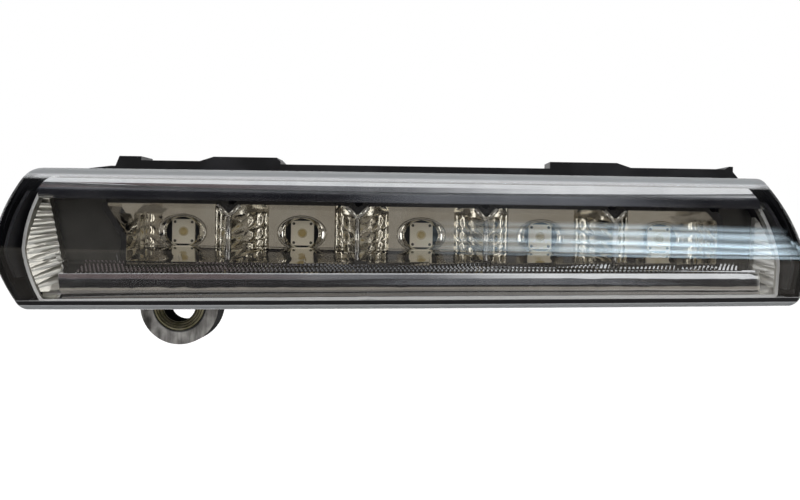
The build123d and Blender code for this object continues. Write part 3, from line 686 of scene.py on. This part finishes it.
def rod_mesh(name, paths, radius, sides):
    """Round rods along straight paths in the plane across the line of sight."""
    build = bmesh.new()
    angles = [2 * pi * side / sides for side in range(sides)]
    for start, end in paths:
        across = (end - start).normalized().cross(LINE_OF_SIGHT).normalized()
        spokes = [radius * (across * cos(a) + LINE_OF_SIGHT * sin(a)) for a in angles]
        rings = [[build.verts.new(place + spoke) for spoke in spokes] for place in (start, end)]
        skin(build, rings[1], rings[0])
        build.faces.new(rings[0])
        build.faces.new(rings[1][::-1])
    bmesh.ops.recalc_face_normals(build, faces=build.faces)
    return mesh_from(build, name)


for number in range(1, led_count):
    left_lamp, right_lamp = led_centres[number - 1], led_centres[number]
    crest = Vector(((left_lamp.x + right_lamp.x) / 2, CELL_BACK - CAP_FORWARD, left_lamp.z))
    foot = crest + Vector((0, 0, FLOOR_AT_MOUTH[number - 1] + CAP_FOOT))
    fork = crest + Vector((0, 0, CAP_TOP - CAP_FORK))
    arms = [crest + Vector((side * CAP_FORK, 0, CAP_TOP)) for side in (-1, 1)]
    paths = [(foot, fork), (fork, arms[0]), (fork, arms[1])]
    cap = rod_mesh(f"ridge_cap_{number}", paths, CAP_RADIUS, CAP_SIDES)
    add_piece(f"ridge_cap_{number}", cap, reflector_metal)

# Inner mask: a flat plate moulded in glossy black plastic, with a window for the reflector. It lies
# behind the bezel and is seen as the dark panels beyond the first and last cells.
MASK_BLACK = (0.025, 0.024, 0.022, 1)
MASK_WORN = (0.045, 0.043, 0.04, 1)
MASK_ROUGH = 0.18
paint("inner_mask", moulded_plastic("mask_black", MASK_BLACK, MASK_WORN, MASK_ROUGH))

# Bezel: one chromed moulding with a half-round bar above and below the cells, a fluted fan at each
# end and a narrow lip all round, held down by the foot of the lens. The bars are bright, and the fans
# and the lip's face are satin. As painted light the right fan is paler and less metallic, and the
# left fan a little so; the lip's face is pale and hardly metallic, a painted highlight.
CHROME_DARK = (0.70, 0.70, 0.71, 1)
CHROME_PALE = (0.80, 0.80, 0.80, 1)
CHROME_ROUGH = 0.07
SATIN_BEIGE = (0.56, 0.545, 0.49, 1)
SATIN_ROUGH = 0.28
FAN_PAINTED_LIGHT = (0.82, 0.81, 0.77, 1)
FAN_PAINTED_LIGHT_METAL = 0.78
LEFT_FAN_PAINTED_LIGHT = 0.2
FAN_ENDS = (-0.0262, 0.1740)
FAN_END_BLUR = 0.0012
FAN_HEIGHT = 0.0340
FAN_HEIGHT_BLUR = 0.0006
LIP_PAINTED_HIGHLIGHT = (0.66, 0.66, 0.65, 1)
LIP_HIGHLIGHT_METAL = 0.25
LIP_DEPTH = -0.0511
LIP_HEIGHT = 0.0056
LIP_BLUR = 0.0001
LIP_SLOPE = 0.0211
LIP_SQUARE = (0.99998, 0.999995)
bezel_chrome = metallised("bezel_chrome", CHROME_DARK, CHROME_PALE, CHROME_ROUGH)
chrome_tone = what_feeds(bezel_chrome, "Base Color")
chrome_rough = what_feeds(bezel_chrome, "Roughness")
chrome_place = split_vector(bezel_chrome, place_on_piece(bezel_chrome))
left_fan = spread(bezel_chrome, chrome_place["X"], 1.0, 0.0, FAN_ENDS[0] - FAN_END_BLUR, FAN_ENDS[0])
right_fan = spread(bezel_chrome, chrome_place["X"], 0.0, 1.0, FAN_ENDS[1], FAN_ENDS[1] + FAN_END_BLUR)
either_fan = combine(bezel_chrome, "MAXIMUM", left_fan, right_fan)
under_bar = below(bezel_chrome, chrome_place["Z"], FAN_HEIGHT, FAN_HEIGHT_BLUR)
on_fan = combine(bezel_chrome, "MULTIPLY", under_bar, either_fan)
# Painted light on the fans: the right fan, and a little of the left, is paler and less metallic.
left_painted_light = spread(bezel_chrome, left_fan, 0.0, LEFT_FAN_PAINTED_LIGHT, 0.0, 1.0)
fan_painted_light = combine(bezel_chrome, "MAXIMUM", left_painted_light, right_fan)
on_painted_light = combine(bezel_chrome, "MULTIPLY", under_bar, fan_painted_light)
# Painted highlight on the lip's face: pale and hardly metallic.
at_lip = combine(bezel_chrome, "COMPARE", chrome_place["Y"], LIP_DEPTH, FLUSH)
square_on = spread(bezel_chrome, facing(bezel_chrome, "Y"), 0.0, 1.0, *LIP_SQUARE)
lip_face = combine(bezel_chrome, "MULTIPLY", at_lip, square_on)
above_slope = combine(bezel_chrome, "MULTIPLY_ADD", chrome_place["X"], -LIP_SLOPE, chrome_place["Z"])
low_lip = below(bezel_chrome, above_slope, LIP_HEIGHT, LIP_BLUR)
lip_reach = combine(bezel_chrome, "MAXIMUM", low_lip, either_fan)
on_lip = combine(bezel_chrome, "MULTIPLY", lip_face, lip_reach)
fan_tone = blend(bezel_chrome, on_fan, chrome_tone, SATIN_BEIGE)
fan_tone = blend(bezel_chrome, on_painted_light, fan_tone, FAN_PAINTED_LIGHT)
feed(bezel_chrome, "Base Color", blend(bezel_chrome, on_lip, fan_tone, LIP_PAINTED_HIGHLIGHT))
fan_metal = spread(bezel_chrome, on_painted_light, 1.0, FAN_PAINTED_LIGHT_METAL, 0.0, 1.0)
lip_metal = spread(bezel_chrome, on_lip, 1.0, LIP_HIGHLIGHT_METAL, 0.0, 1.0)
feed(bezel_chrome, "Metallic", combine(bezel_chrome, "MINIMUM", fan_metal, lip_metal))
satin_share = combine(bezel_chrome, "MAXIMUM", on_fan, on_lip)
satin_rough = spread(bezel_chrome, satin_share, 0.0, SATIN_ROUGH, 0.0, 1.0)
feed(bezel_chrome, "Roughness", combine(bezel_chrome, "MAXIMUM", chrome_rough, satin_rough))
paint("bezel", bezel_chrome)

# Fan toes: the coves that close the foot of each fan against the bezel's lip. They are moulded with the
# bezel and have its satin finish.
TOE_TOP_DEPTH = -0.0477
TOE_FOOT_DEPTH = -0.0507
TOE_STEPS = 10
LEFT_TOE = ((-0.0318, -0.0262, 0.0070), (-0.0311, -0.0262, 0.0047))
RIGHT_TOE = ((0.1743, 0.1803, 0.0115), (0.1743, 0.1803, 0.0090))


def toe_mesh(name, top, foot):
    """A cove from its upper to its lower edge, each given by its two ends and its height."""
    build = bmesh.new()
    rows = []
    for step in range(TOE_STEPS + 1):
        turn = pi / 2 * step / TOE_STEPS
        down, forward = sin(turn), 1 - cos(turn)
        left, right, height = [between(upper, lower, down) for upper, lower in zip(top, foot)]
        depth = between(TOE_TOP_DEPTH, TOE_FOOT_DEPTH, forward)
        across = [left + (right - left) * share / TOE_STEPS for share in range(TOE_STEPS + 1)]
        rows.append([build.verts.new((x, depth, height)) for x in across])
    for upper, lower in zip(rows, rows[1:]):
        for share in range(TOE_STEPS):
            build.faces.new((upper[share], lower[share], lower[share + 1], upper[share + 1]))
    return mesh_from(build, name)


for name, (top, foot) in (("left_fan_toe", LEFT_TOE), ("right_fan_toe", RIGHT_TOE)):
    add_piece(name, toe_mesh(name, top, foot), bezel_chrome)

# Knurled ledge: a row of beads along the front edge of the lower bar's ledge with a field of small
# pyramids behind it, moulded with the bezel and chromed with it.
KNURL_LEFT = -0.0215
KNURL_RIGHT = 0.1710
KNURL_FRONT = -0.0490
KNURL_SINK = 0.00014
BEAD_PITCH = 0.0014
BEAD_SIZE = 0.00046
BEAD_RISE = 0.00066
BEAD_SIDES = 8
PYRAMID_PITCH = 0.0012
PYRAMID_SIZE = 0.00052
PYRAMID_RISE = 0.00066
PYRAMID_SIDES = 4
PYRAMID_ROWS = 4
PYRAMID_ROW_STEP = 0.0016
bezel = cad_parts["bezel"]


def ledge_under(x, depth):
    """Height of the bezel's ledge under a point of the lamp's middle plane."""
    to_piece = bezel.matrix_world.inverted()
    origin = to_piece @ Vector((x, depth, led_centres[0].z))
    found, place, normal, face = bezel.ray_cast(origin, to_piece.to_3x3() @ Vector((0, 0, -1)))
    return (bezel.matrix_world @ place).z if found else None


def add_point(build, x, depth, size, rise, sides):
    """A small pointed bump on the ledge."""
    height = ledge_under(x, depth)
    if height is None:
        return
    height -= KNURL_SINK
    angles = [2 * pi * (side + 0.5) / sides for side in range(sides)]
    base = [build.verts.new((x + size * cos(a), depth + size * sin(a), height)) for a in angles]
    close_to_point(build, base, (x, depth, height + rise))


beads = bmesh.new()
for step in range(int((KNURL_RIGHT - KNURL_LEFT) / BEAD_PITCH)):
    add_point(beads, KNURL_LEFT + step * BEAD_PITCH, KNURL_FRONT, BEAD_SIZE, BEAD_RISE, BEAD_SIDES)
add_piece("ledge_beads", mesh_from(beads, "ledge_beads"), bezel_chrome)

pyramids = bmesh.new()
for row in range(PYRAMID_ROWS):
    shift = PYRAMID_PITCH / 2 * (row % 2)
    depth = KNURL_FRONT + (row + 1) * PYRAMID_ROW_STEP
    for step in range(int((KNURL_RIGHT - KNURL_LEFT) / PYRAMID_PITCH)):
        place = KNURL_LEFT + shift + step * PYRAMID_PITCH
        add_point(pyramids, place, depth, PYRAMID_SIZE, PYRAMID_RISE, PYRAMID_SIDES)
pyramid_mesh = mesh_from(pyramids, "ledge_pyramids")
ledge_pyramids = add_piece("ledge_pyramids", pyramid_mesh, bezel_chrome)
for face in ledge_pyramids.data.polygons:
    face.use_smooth = False

# Outer lens: clear acrylic moulding, hard coated, its tongue pressed into the bead in the housing's
# channel. Its ends and a band along its low edge are black, and the rims above and below are half
# frosted, with a painted grey, paler low on the top rim, that stands in for the light seen through
# them. The cover has the moulding's own shape, with its shading evened over the broad faces.
LENS_CLEAR = (0.96, 0.97, 0.98, 1)
LENS_BORDER = (0.008, 0.008, 0.009, 1)
LENS_RIM_PAINTED_GREY = (0.28, 0.29, 0.30, 1)
LENS_RIM_PAINTED_PALE = (0.62, 0.63, 0.65, 1)
LENS_INDEX = 1.49
LENS_SHEEN = (0.2, 0.5)
LENS_FROST = 0.52
LENS_EDGE_ROUGH = 0.40
LENS_PATCHES = 70.0
LENS_PATCH_ROUGH = 0.004
LENS_TOP_RIM = (0.0386, 0.0404)
LENS_TOP_TONES = (0.3, 1.0)
LENS_LOW_RIM = 0.00335
LENS_LOW_BORDER = 0.0047
LENS_EDGE_BLUR = 0.0001
LENS_RIM_SLOPE = 0.0211
LENS_LEVEL_TURN = (0.90, 0.95)
LENS_END_TURN = (0.50, 0.62)
LENS_SMOOTH = radians(65)
LENS_STRAY = 0.045
LENS_END = 0.3
clear_lens = new_finish("clear_lens")
setting(clear_lens, "IOR").default_value = LENS_INDEX
lens_place = split_vector(clear_lens, place_on_piece(clear_lens))
above_edge = combine(clear_lens, "MULTIPLY_ADD", lens_place["X"], -LENS_RIM_SLOPE, lens_place["Z"])
upright = spread(clear_lens, facing(clear_lens, "Z"), 1.0, 0.0, *LENS_LEVEL_TURN)
low_rim = below(clear_lens, above_edge, LENS_LOW_RIM, LENS_EDGE_BLUR)
low_border = below(clear_lens, above_edge, LENS_LOW_BORDER, LENS_EDGE_BLUR)
top_rim = spread(clear_lens, lens_place["Z"], 0.0, 1.0, *LENS_TOP_RIM)
# Painted light: the frosted rims take a grey, paler low on the top rim, that stands in for the light seen
# through them.
rim_painted_light = two_tone(clear_lens, top_rim, LENS_RIM_PAINTED_PALE, LENS_RIM_PAINTED_GREY, *LENS_TOP_TONES)
rim_painted_light = blend(clear_lens, low_rim, rim_painted_light, LENS_RIM_PAINTED_GREY)
frosted = combine(clear_lens, "MULTIPLY", upright, combine(clear_lens, "MAXIMUM", low_rim, top_rim))
banded = combine(clear_lens, "MULTIPLY", upright, combine(clear_lens, "SUBTRACT", low_border, low_rim))
end_open = spread(clear_lens, facing(clear_lens, "X"), 1.0, 0.0, *LENS_END_TURN)
band_open = combine(clear_lens, "MULTIPLY", end_open, spread(clear_lens, banded, 1.0, 0.0, 0.0, 1.0))
frost_open = spread(clear_lens, frosted, 1.0, 1.0 - LENS_FROST, 0.0, 1.0)
open_lens = combine(clear_lens, "MULTIPLY", band_open, frost_open)
feed(clear_lens, "Transmission Weight", open_lens)
bordered = two_tone(clear_lens, band_open, LENS_BORDER, LENS_CLEAR, 0.0, 1.0)
frost = combine(clear_lens, "MULTIPLY", frosted, end_open)
feed(clear_lens, "Base Color", blend(clear_lens, frost, bordered, rim_painted_light))
feed(clear_lens, "Specular IOR Level", spread(clear_lens, open_lens, *LENS_SHEEN, 0.0, 1.0))
handled = spread(clear_lens, noise_on(clear_lens, LENS_PATCHES), 0.0, LENS_PATCH_ROUGH)
edge_share = combine(clear_lens, "MAXIMUM", frosted, banded)
edge_rough = spread(clear_lens, edge_share, 0.0, LENS_EDGE_ROUGH, 0.0, 1.0)
feed(clear_lens, "Roughness", combine(clear_lens, "MAXIMUM", handled, edge_rough))


def even_normals(mesh):
    """Corner normals, evened over the broad faces wherever a sliver has pulled one sideways."""
    around = [[] for vertex in mesh.vertices]
    corners = [[] for vertex in mesh.vertices]
    for face in mesh.polygons:
        for corner in face.loop_indices:
            vertex = mesh.loops[corner].vertex_index
            around[vertex].append(face)
            corners[vertex].append(corner)
    normals = [normal.vector.copy() for normal in mesh.corner_normals]
    for faces, loops in zip(around, corners):
        broad = max(faces, key=lambda face: face.area).normal
        smooth = all(face.normal.angle(broad) < LENS_SMOOTH for face in faces)
        stray = max(abs(normals[loop].x - broad.x) for loop in loops)
        if smooth and stray > LENS_STRAY and abs(broad.x) < LENS_END:
            even = sum((face.normal * face.area for face in faces), Vector()).normalized()
            for loop in loops:
                normals[loop] = even
    return normals


cover_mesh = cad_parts["outer_lens"].data.copy()
cover_mesh.name = "clear_cover"
cover_mesh.materials.clear()
cover_normals = even_normals(cover_mesh)
clear_cover = add_piece("clear_cover", cover_mesh, clear_lens)
clear_cover.data.normals_split_custom_set(cover_normals)
clear_cover.visible_shadow = False
paint("outer_lens", clear_lens)
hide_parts("outer_lens")

# Connector: a black moulded socket fixed through the housing's back wall, with two tinned brass pins
# that run through it from the board. A breather cap of the same plastic plugs the vent hole.
SOCKET_BLACK = (0.016, 0.016, 0.017, 1)
SOCKET_ROUGH = 0.42
PIN_DARK = (0.50, 0.43, 0.30, 1)
PIN_PALE = (0.66, 0.60, 0.46, 1)
PIN_ROUGH = 0.3
socket_black = moulded_plastic("socket_black", SOCKET_BLACK, HOUSING_WORN, SOCKET_ROUGH)
paint("connector_socket", socket_black)
paint("vent_cap", socket_black)
paint("connector_pins", turned_finish("pin_brass", PIN_DARK, PIN_PALE, PIN_ROUGH))

# Floor: a pale sweep well below the lamp, which is held up by its ear. It is white to the camera
# and to reflections, and still takes the lamp's shadow.
FLOOR_DROP = 0.10
FLOOR_HALF = 3.0
FLOOR_PAINT = (0.55, 0.55, 0.55, 1)
FLOOR_ROUGH = 0.9
FLOOR_GLOW = 0.7
low, high = cad_box
middle = (low + high) / 2


def flat_card(name, centre, width, depth):
    mesh = bpy.data.meshes.new(name)
    w, d = width / 2, depth / 2
    mesh.from_pydata([(-w, -d, 0), (w, -d, 0), (w, d, 0), (-w, d, 0)], [], [(0, 1, 2, 3)])
    card = bpy.data.objects.new(name, mesh)
    card.location = centre
    bpy.context.collection.objects.link(card)
    return card


def seen_directly(material):
    """1 for the camera's own rays, mirror rays and rays through the lens, and 0 for all others."""
    path = add_node(material, "ShaderNodeLightPath").outputs
    seen = combine(material, "MAXIMUM", path["Is Camera Ray"], path["Is Glossy Ray"])
    return combine(material, "MAXIMUM", seen, path["Is Transmission Ray"])


floor = flat_card("floor", (middle.x, middle.y, low.z - FLOOR_DROP), 2 * FLOOR_HALF, 2 * FLOOR_HALF)
floor_white = new_finish("floor_white")
setting(floor_white, "Base Color").default_value = FLOOR_PAINT
setting(floor_white, "Roughness").default_value = FLOOR_ROUGH
floor_nodes = floor_white.node_tree.nodes
floor_glow = add_node(floor_white, "ShaderNodeEmission")
glow_level = combine(floor_white, "MULTIPLY", seen_directly(floor_white), FLOOR_GLOW)
wire(floor_white, glow_level, floor_glow.inputs["Strength"])
floor_mix = add_node(floor_white, "ShaderNodeAddShader")
wire(floor_white, floor_nodes["Principled BSDF"].outputs["BSDF"], floor_mix.inputs[0])
wire(floor_white, floor_glow.outputs["Emission"], floor_mix.inputs[1])
wire(floor_white, floor_mix.outputs["Shader"], floor_nodes["Material Output"].inputs["Surface"])
floor.data.materials.append(floor_white)

# Cards: the room as the lamp sees it, a taupe bench below and ahead, a dark wall with a grey cupboard,
# a mauve ceiling on the left, two bright windows and a louvred strip light on the right. They show only
# in reflections: the windows only in the metal behind the lens, and the strip only in the lens.
BENCH_LEFT = (0.20, 0.185, 0.165, 1)
BENCH_RIGHT = (0.44, 0.41, 0.37, 1)
BENCH_AHEAD = 0.7
BENCH_DROP = 0.09
BENCH_SIZE = (3.0, 1.3)
BENCH_GRADES = [(-0.3, BENCH_LEFT), (0.0, BENCH_LEFT), (0.25, BENCH_RIGHT), (0.6, BENCH_RIGHT)]
CUPBOARD_GREY = (0.15, 0.155, 0.17, 1)
WALL_TAUPE = (0.33, 0.30, 0.255, 1)
WALL_DARK = (0.014, 0.014, 0.017, 1)
WALL_AHEAD = 1.2
WALL_HALF_WIDTH = 1.2
WALL_LOW = -0.35
WALL_HIGH = 1.12
WALL_GRADES = [
    (WALL_LOW, WALL_TAUPE), (0.09, WALL_TAUPE), (0.15, WALL_DARK), (0.85, WALL_DARK),
    (WALL_HIGH, CUPBOARD_GREY),
]
CUPBOARD_PLACE = (0.14, 0.72)
CUPBOARD_OUT = 0.05
CUPBOARD_SIZE = (0.5, 0.8)
CUPBOARD_GRADES = [(-0.25, WALL_DARK), (-0.12, CUPBOARD_GREY), (0.12, CUPBOARD_GREY), (0.25, WALL_DARK)]
CEILING_MAUVE = (0.16, 0.125, 0.125, 1)
CEILING_GREY = (0.20, 0.20, 0.21, 1)
CEILING_WHITE = (1.0, 1.0, 1.0, 1)
CEILING_ACROSS = -0.5
CEILING_AHEAD = 0.91
CEILING_SIZE = (1.4, 0.58)
CEILING_GRADES = [
    (-0.7, CEILING_MAUVE), (0.2, CEILING_MAUVE), (0.35, CEILING_GREY), (0.5, CEILING_GREY),
    (0.7, CEILING_WHITE),
]
WINDOW_WHITE = (1.0, 0.98, 0.94, 1)
WINDOW_STRENGTH = 3.0
WINDOW_ACROSS = 1.02
WINDOW_HEIGHT = 0.25
WINDOW_OUT = 0.08
WINDOW_SIZE = (0.46, 0.75)
STRIP_BLUE = (0.70, 0.88, 1.0, 1)
STRIP_STRENGTH = 40.0
STRIP_ACROSS = 0.36
STRIP_AHEAD = 1.0
STRIP_HEIGHT = 0.36
STRIP_SIZE = (0.76, 0.54)
STRIP_ENDS = [(-0.36, 0.0), (-0.17, 0.4), (0.0, 1.0), (0.216, 1.0), (0.254, 0.0)]
LOUVRES = [
    (0.13, 0.0), (0.21, 0.24), (0.245, 0.30), (0.30, 0.15), (0.35, 0.10), (0.44, 0.24),
    (0.48, 0.44), (0.488, 0.50), (0.495, 0.22), (0.501, 0.20), (0.507, 0.64), (0.514, 0.46),
    (0.5207, 0.16), (0.527, 0.14), (0.534, 0.30), (0.5407, 0.42), (0.549, 0.30), (0.56, 0.06),
    (0.5707, 0.24), (0.58, 0.16), (0.59, 0.05), (0.60, 0.0),
]


def upright_card(name, across, ahead, height, width, tall):
    """A card that stands on edge ahead of the lamp, placed from the lamp's middle."""
    card = flat_card(name, (middle.x + across, -ahead, height), width, tall)
    card.rotation_euler = (radians(90), 0, 0)
    return card


def glow_card(card, colour, strength):
    """A card's even glow, kept from the camera and from shadows."""
    material = new_finish(card.name)
    tree = material.node_tree
    tree.nodes.remove(tree.nodes["Principled BSDF"])
    glow = add_node(material, "ShaderNodeEmission", Color=colour, Strength=strength)
    wire(material, glow.outputs["Emission"], tree.nodes["Material Output"].inputs["Surface"])
    card.data.materials.append(material)
    card.visible_camera = False
    card.visible_diffuse = False
    card.visible_shadow = False
    return material, glow


def graded(material, axis, stops):
    """Colour that changes along one axis of the card, at the given places in metres."""
    first, last = stops[0][0], stops[-1][0]
    along = split_vector(material, place_on_piece(material))[axis]
    share = spread(material, along, 0.0, 1.0, first, last)
    ramp = add_node(material, "ShaderNodeValToRGB")
    while len(ramp.color_ramp.elements) < len(stops):
        ramp.color_ramp.elements.new(0.5)
    for element, (place, colour) in zip(ramp.color_ramp.elements, stops):
        element.position = (place - first) / (last - first)
        element.color = colour
    wire(material, share, ramp.inputs["Fac"])
    return ramp.outputs["Color"]


def graded_card(card, axis, stops):
    """A card whose glow changes along one axis."""
    material, glow = glow_card(card, stops[0][1], 1.0)
    wire(material, graded(material, axis, stops), glow.inputs["Color"])


def grey(level):
    return (level, level, level, 1)


bench_place = (middle.x, -BENCH_AHEAD, low.z - BENCH_DROP)
graded_card(flat_card("bench_card", bench_place, *BENCH_SIZE), "X", BENCH_GRADES)
wall = upright_card("wall_card", 0.0, WALL_AHEAD, 0.0, 2 * WALL_HALF_WIDTH, 2 * WALL_HIGH)
graded_card(wall, "Y", WALL_GRADES)
cupboard_across, cupboard_height = CUPBOARD_PLACE
cupboard_ahead = WALL_AHEAD - CUPBOARD_OUT
cupboard = upright_card("cupboard_card", cupboard_across, cupboard_ahead, cupboard_height, *CUPBOARD_SIZE)
graded_card(cupboard, "X", CUPBOARD_GRADES)
ceiling_place = (middle.x + CEILING_ACROSS, -CEILING_AHEAD, WALL_HIGH)
graded_card(flat_card("ceiling_card", ceiling_place, *CEILING_SIZE), "X", CEILING_GRADES)
for name, across in (("left_window_card", -WINDOW_ACROSS), ("right_window_card", WINDOW_ACROSS)):
    window = upright_card(name, across, WALL_AHEAD - WINDOW_OUT, WINDOW_HEIGHT, *WINDOW_SIZE)
    glow_card(window, WINDOW_WHITE, WINDOW_STRENGTH)
    window.visible_glossy = False

strip = upright_card("strip_card", STRIP_ACROSS, STRIP_AHEAD, STRIP_HEIGHT, *STRIP_SIZE)
strip_paint, strip_glow = glow_card(strip, STRIP_BLUE, STRIP_STRENGTH)
louvre_tone = graded(strip_paint, "Y", [(height - STRIP_HEIGHT, grey(level)) for height, level in LOUVRES])
end_tone = graded(strip_paint, "X", [(across, grey(level)) for across, level in STRIP_ENDS])
strip_pattern = blend(strip_paint, 1.0, louvre_tone, end_tone, "MULTIPLY")
strip_level = combine(strip_paint, "MULTIPLY", strip_pattern, STRIP_STRENGTH)
wire(strip_paint, strip_level, strip_glow.inputs["Strength"])
strip.visible_transmission = False
lens_only = bpy.data.collections.new("lens_only")
lens_only.objects.link(clear_cover)
strip.light_linking.receiver_collection = lens_only

# Light: a large soft box overhead and a broad, softer fill from the front, as in a small studio.
# The world is white to the camera and to reflections, and lights the lamp at a lower level.
WORLD_LEVEL = 0.55
WORLD_WHITE = (1, 1, 1, 1)
OVERHEAD_AHEAD = 0.15
OVERHEAD_HEIGHT = 0.75
OVERHEAD_SIZE = (0.9, 0.5)
OVERHEAD_POWER = 6.0
FILL_AHEAD = 1.0
FILL_HEIGHT = 0.25
FILL_SIZE = (1.2, 0.6)
FILL_POWER = 8.5
scene = bpy.context.scene
world = bpy.data.worlds.new("studio")
world.use_nodes = True
scene.world = world
backing = world.node_tree.nodes["Background"]
backing.inputs["Color"].default_value = WORLD_WHITE
world_level = spread(world, seen_directly(world), WORLD_LEVEL, 1.0, 0.0, 1.0)
wire(world, world_level, backing.inputs["Strength"])


def soft_box(name, place, width, height, power):
    """A broad lamp aimed at the middle of the part, not seen in mirrors or through the lens."""
    data = bpy.data.lights.new(name, "AREA")
    data.shape = "RECTANGLE"
    data.size = width
    data.size_y = height
    data.energy = power
    lamp = bpy.data.objects.new(name, data)
    lamp.location = place
    lamp.rotation_euler = (middle - Vector(place)).to_track_quat("-Z", "Y").to_euler()
    lamp.visible_glossy = False
    lamp.visible_transmission = False
    bpy.context.collection.objects.link(lamp)


overhead_place = (middle.x, middle.y - OVERHEAD_AHEAD, OVERHEAD_HEIGHT)
soft_box("overhead", overhead_place, *OVERHEAD_SIZE, OVERHEAD_POWER)
soft_box("front_fill", (middle.x, -FILL_AHEAD, FILL_HEIGHT), *FILL_SIZE, FILL_POWER)

# Camera: level and square to the front of the lamp, with the small roll, the framing and the focal
# length of the photograph, whose sizes are in pixels.
CAMERA_PLACE = (0.0763, -0.3585, 0.0272)
CAMERA_ROLL = radians(0.9)
CAMERA_NEAR = 0.01
SENSOR_WIDTH = 36.0
FOCAL_PIXELS = 1069.0
IMAGE_WIDTH = 800.0
IMAGE_HEIGHT = 500.0
AXIS_PIXEL = (416.0, 225.0)
view_data = bpy.data.cameras.new("camera")
view_data.sensor_width = SENSOR_WIDTH
view_data.lens = SENSOR_WIDTH * FOCAL_PIXELS / IMAGE_WIDTH
view_data.shift_x = (IMAGE_WIDTH / 2 - AXIS_PIXEL[0]) / IMAGE_WIDTH
view_data.shift_y = (AXIS_PIXEL[1] - IMAGE_HEIGHT / 2) / IMAGE_WIDTH
view_data.clip_start = CAMERA_NEAR
camera = bpy.data.objects.new("camera", view_data)
level_view = Matrix.Rotation(radians(90), 4, "X") @ Matrix.Rotation(CAMERA_ROLL, 4, "Z")
camera.matrix_world = Matrix.Translation(CAMERA_PLACE) @ level_view
bpy.context.collection.objects.link(camera)
scene.camera = camera
scene.view_settings.view_transform = "Standard"
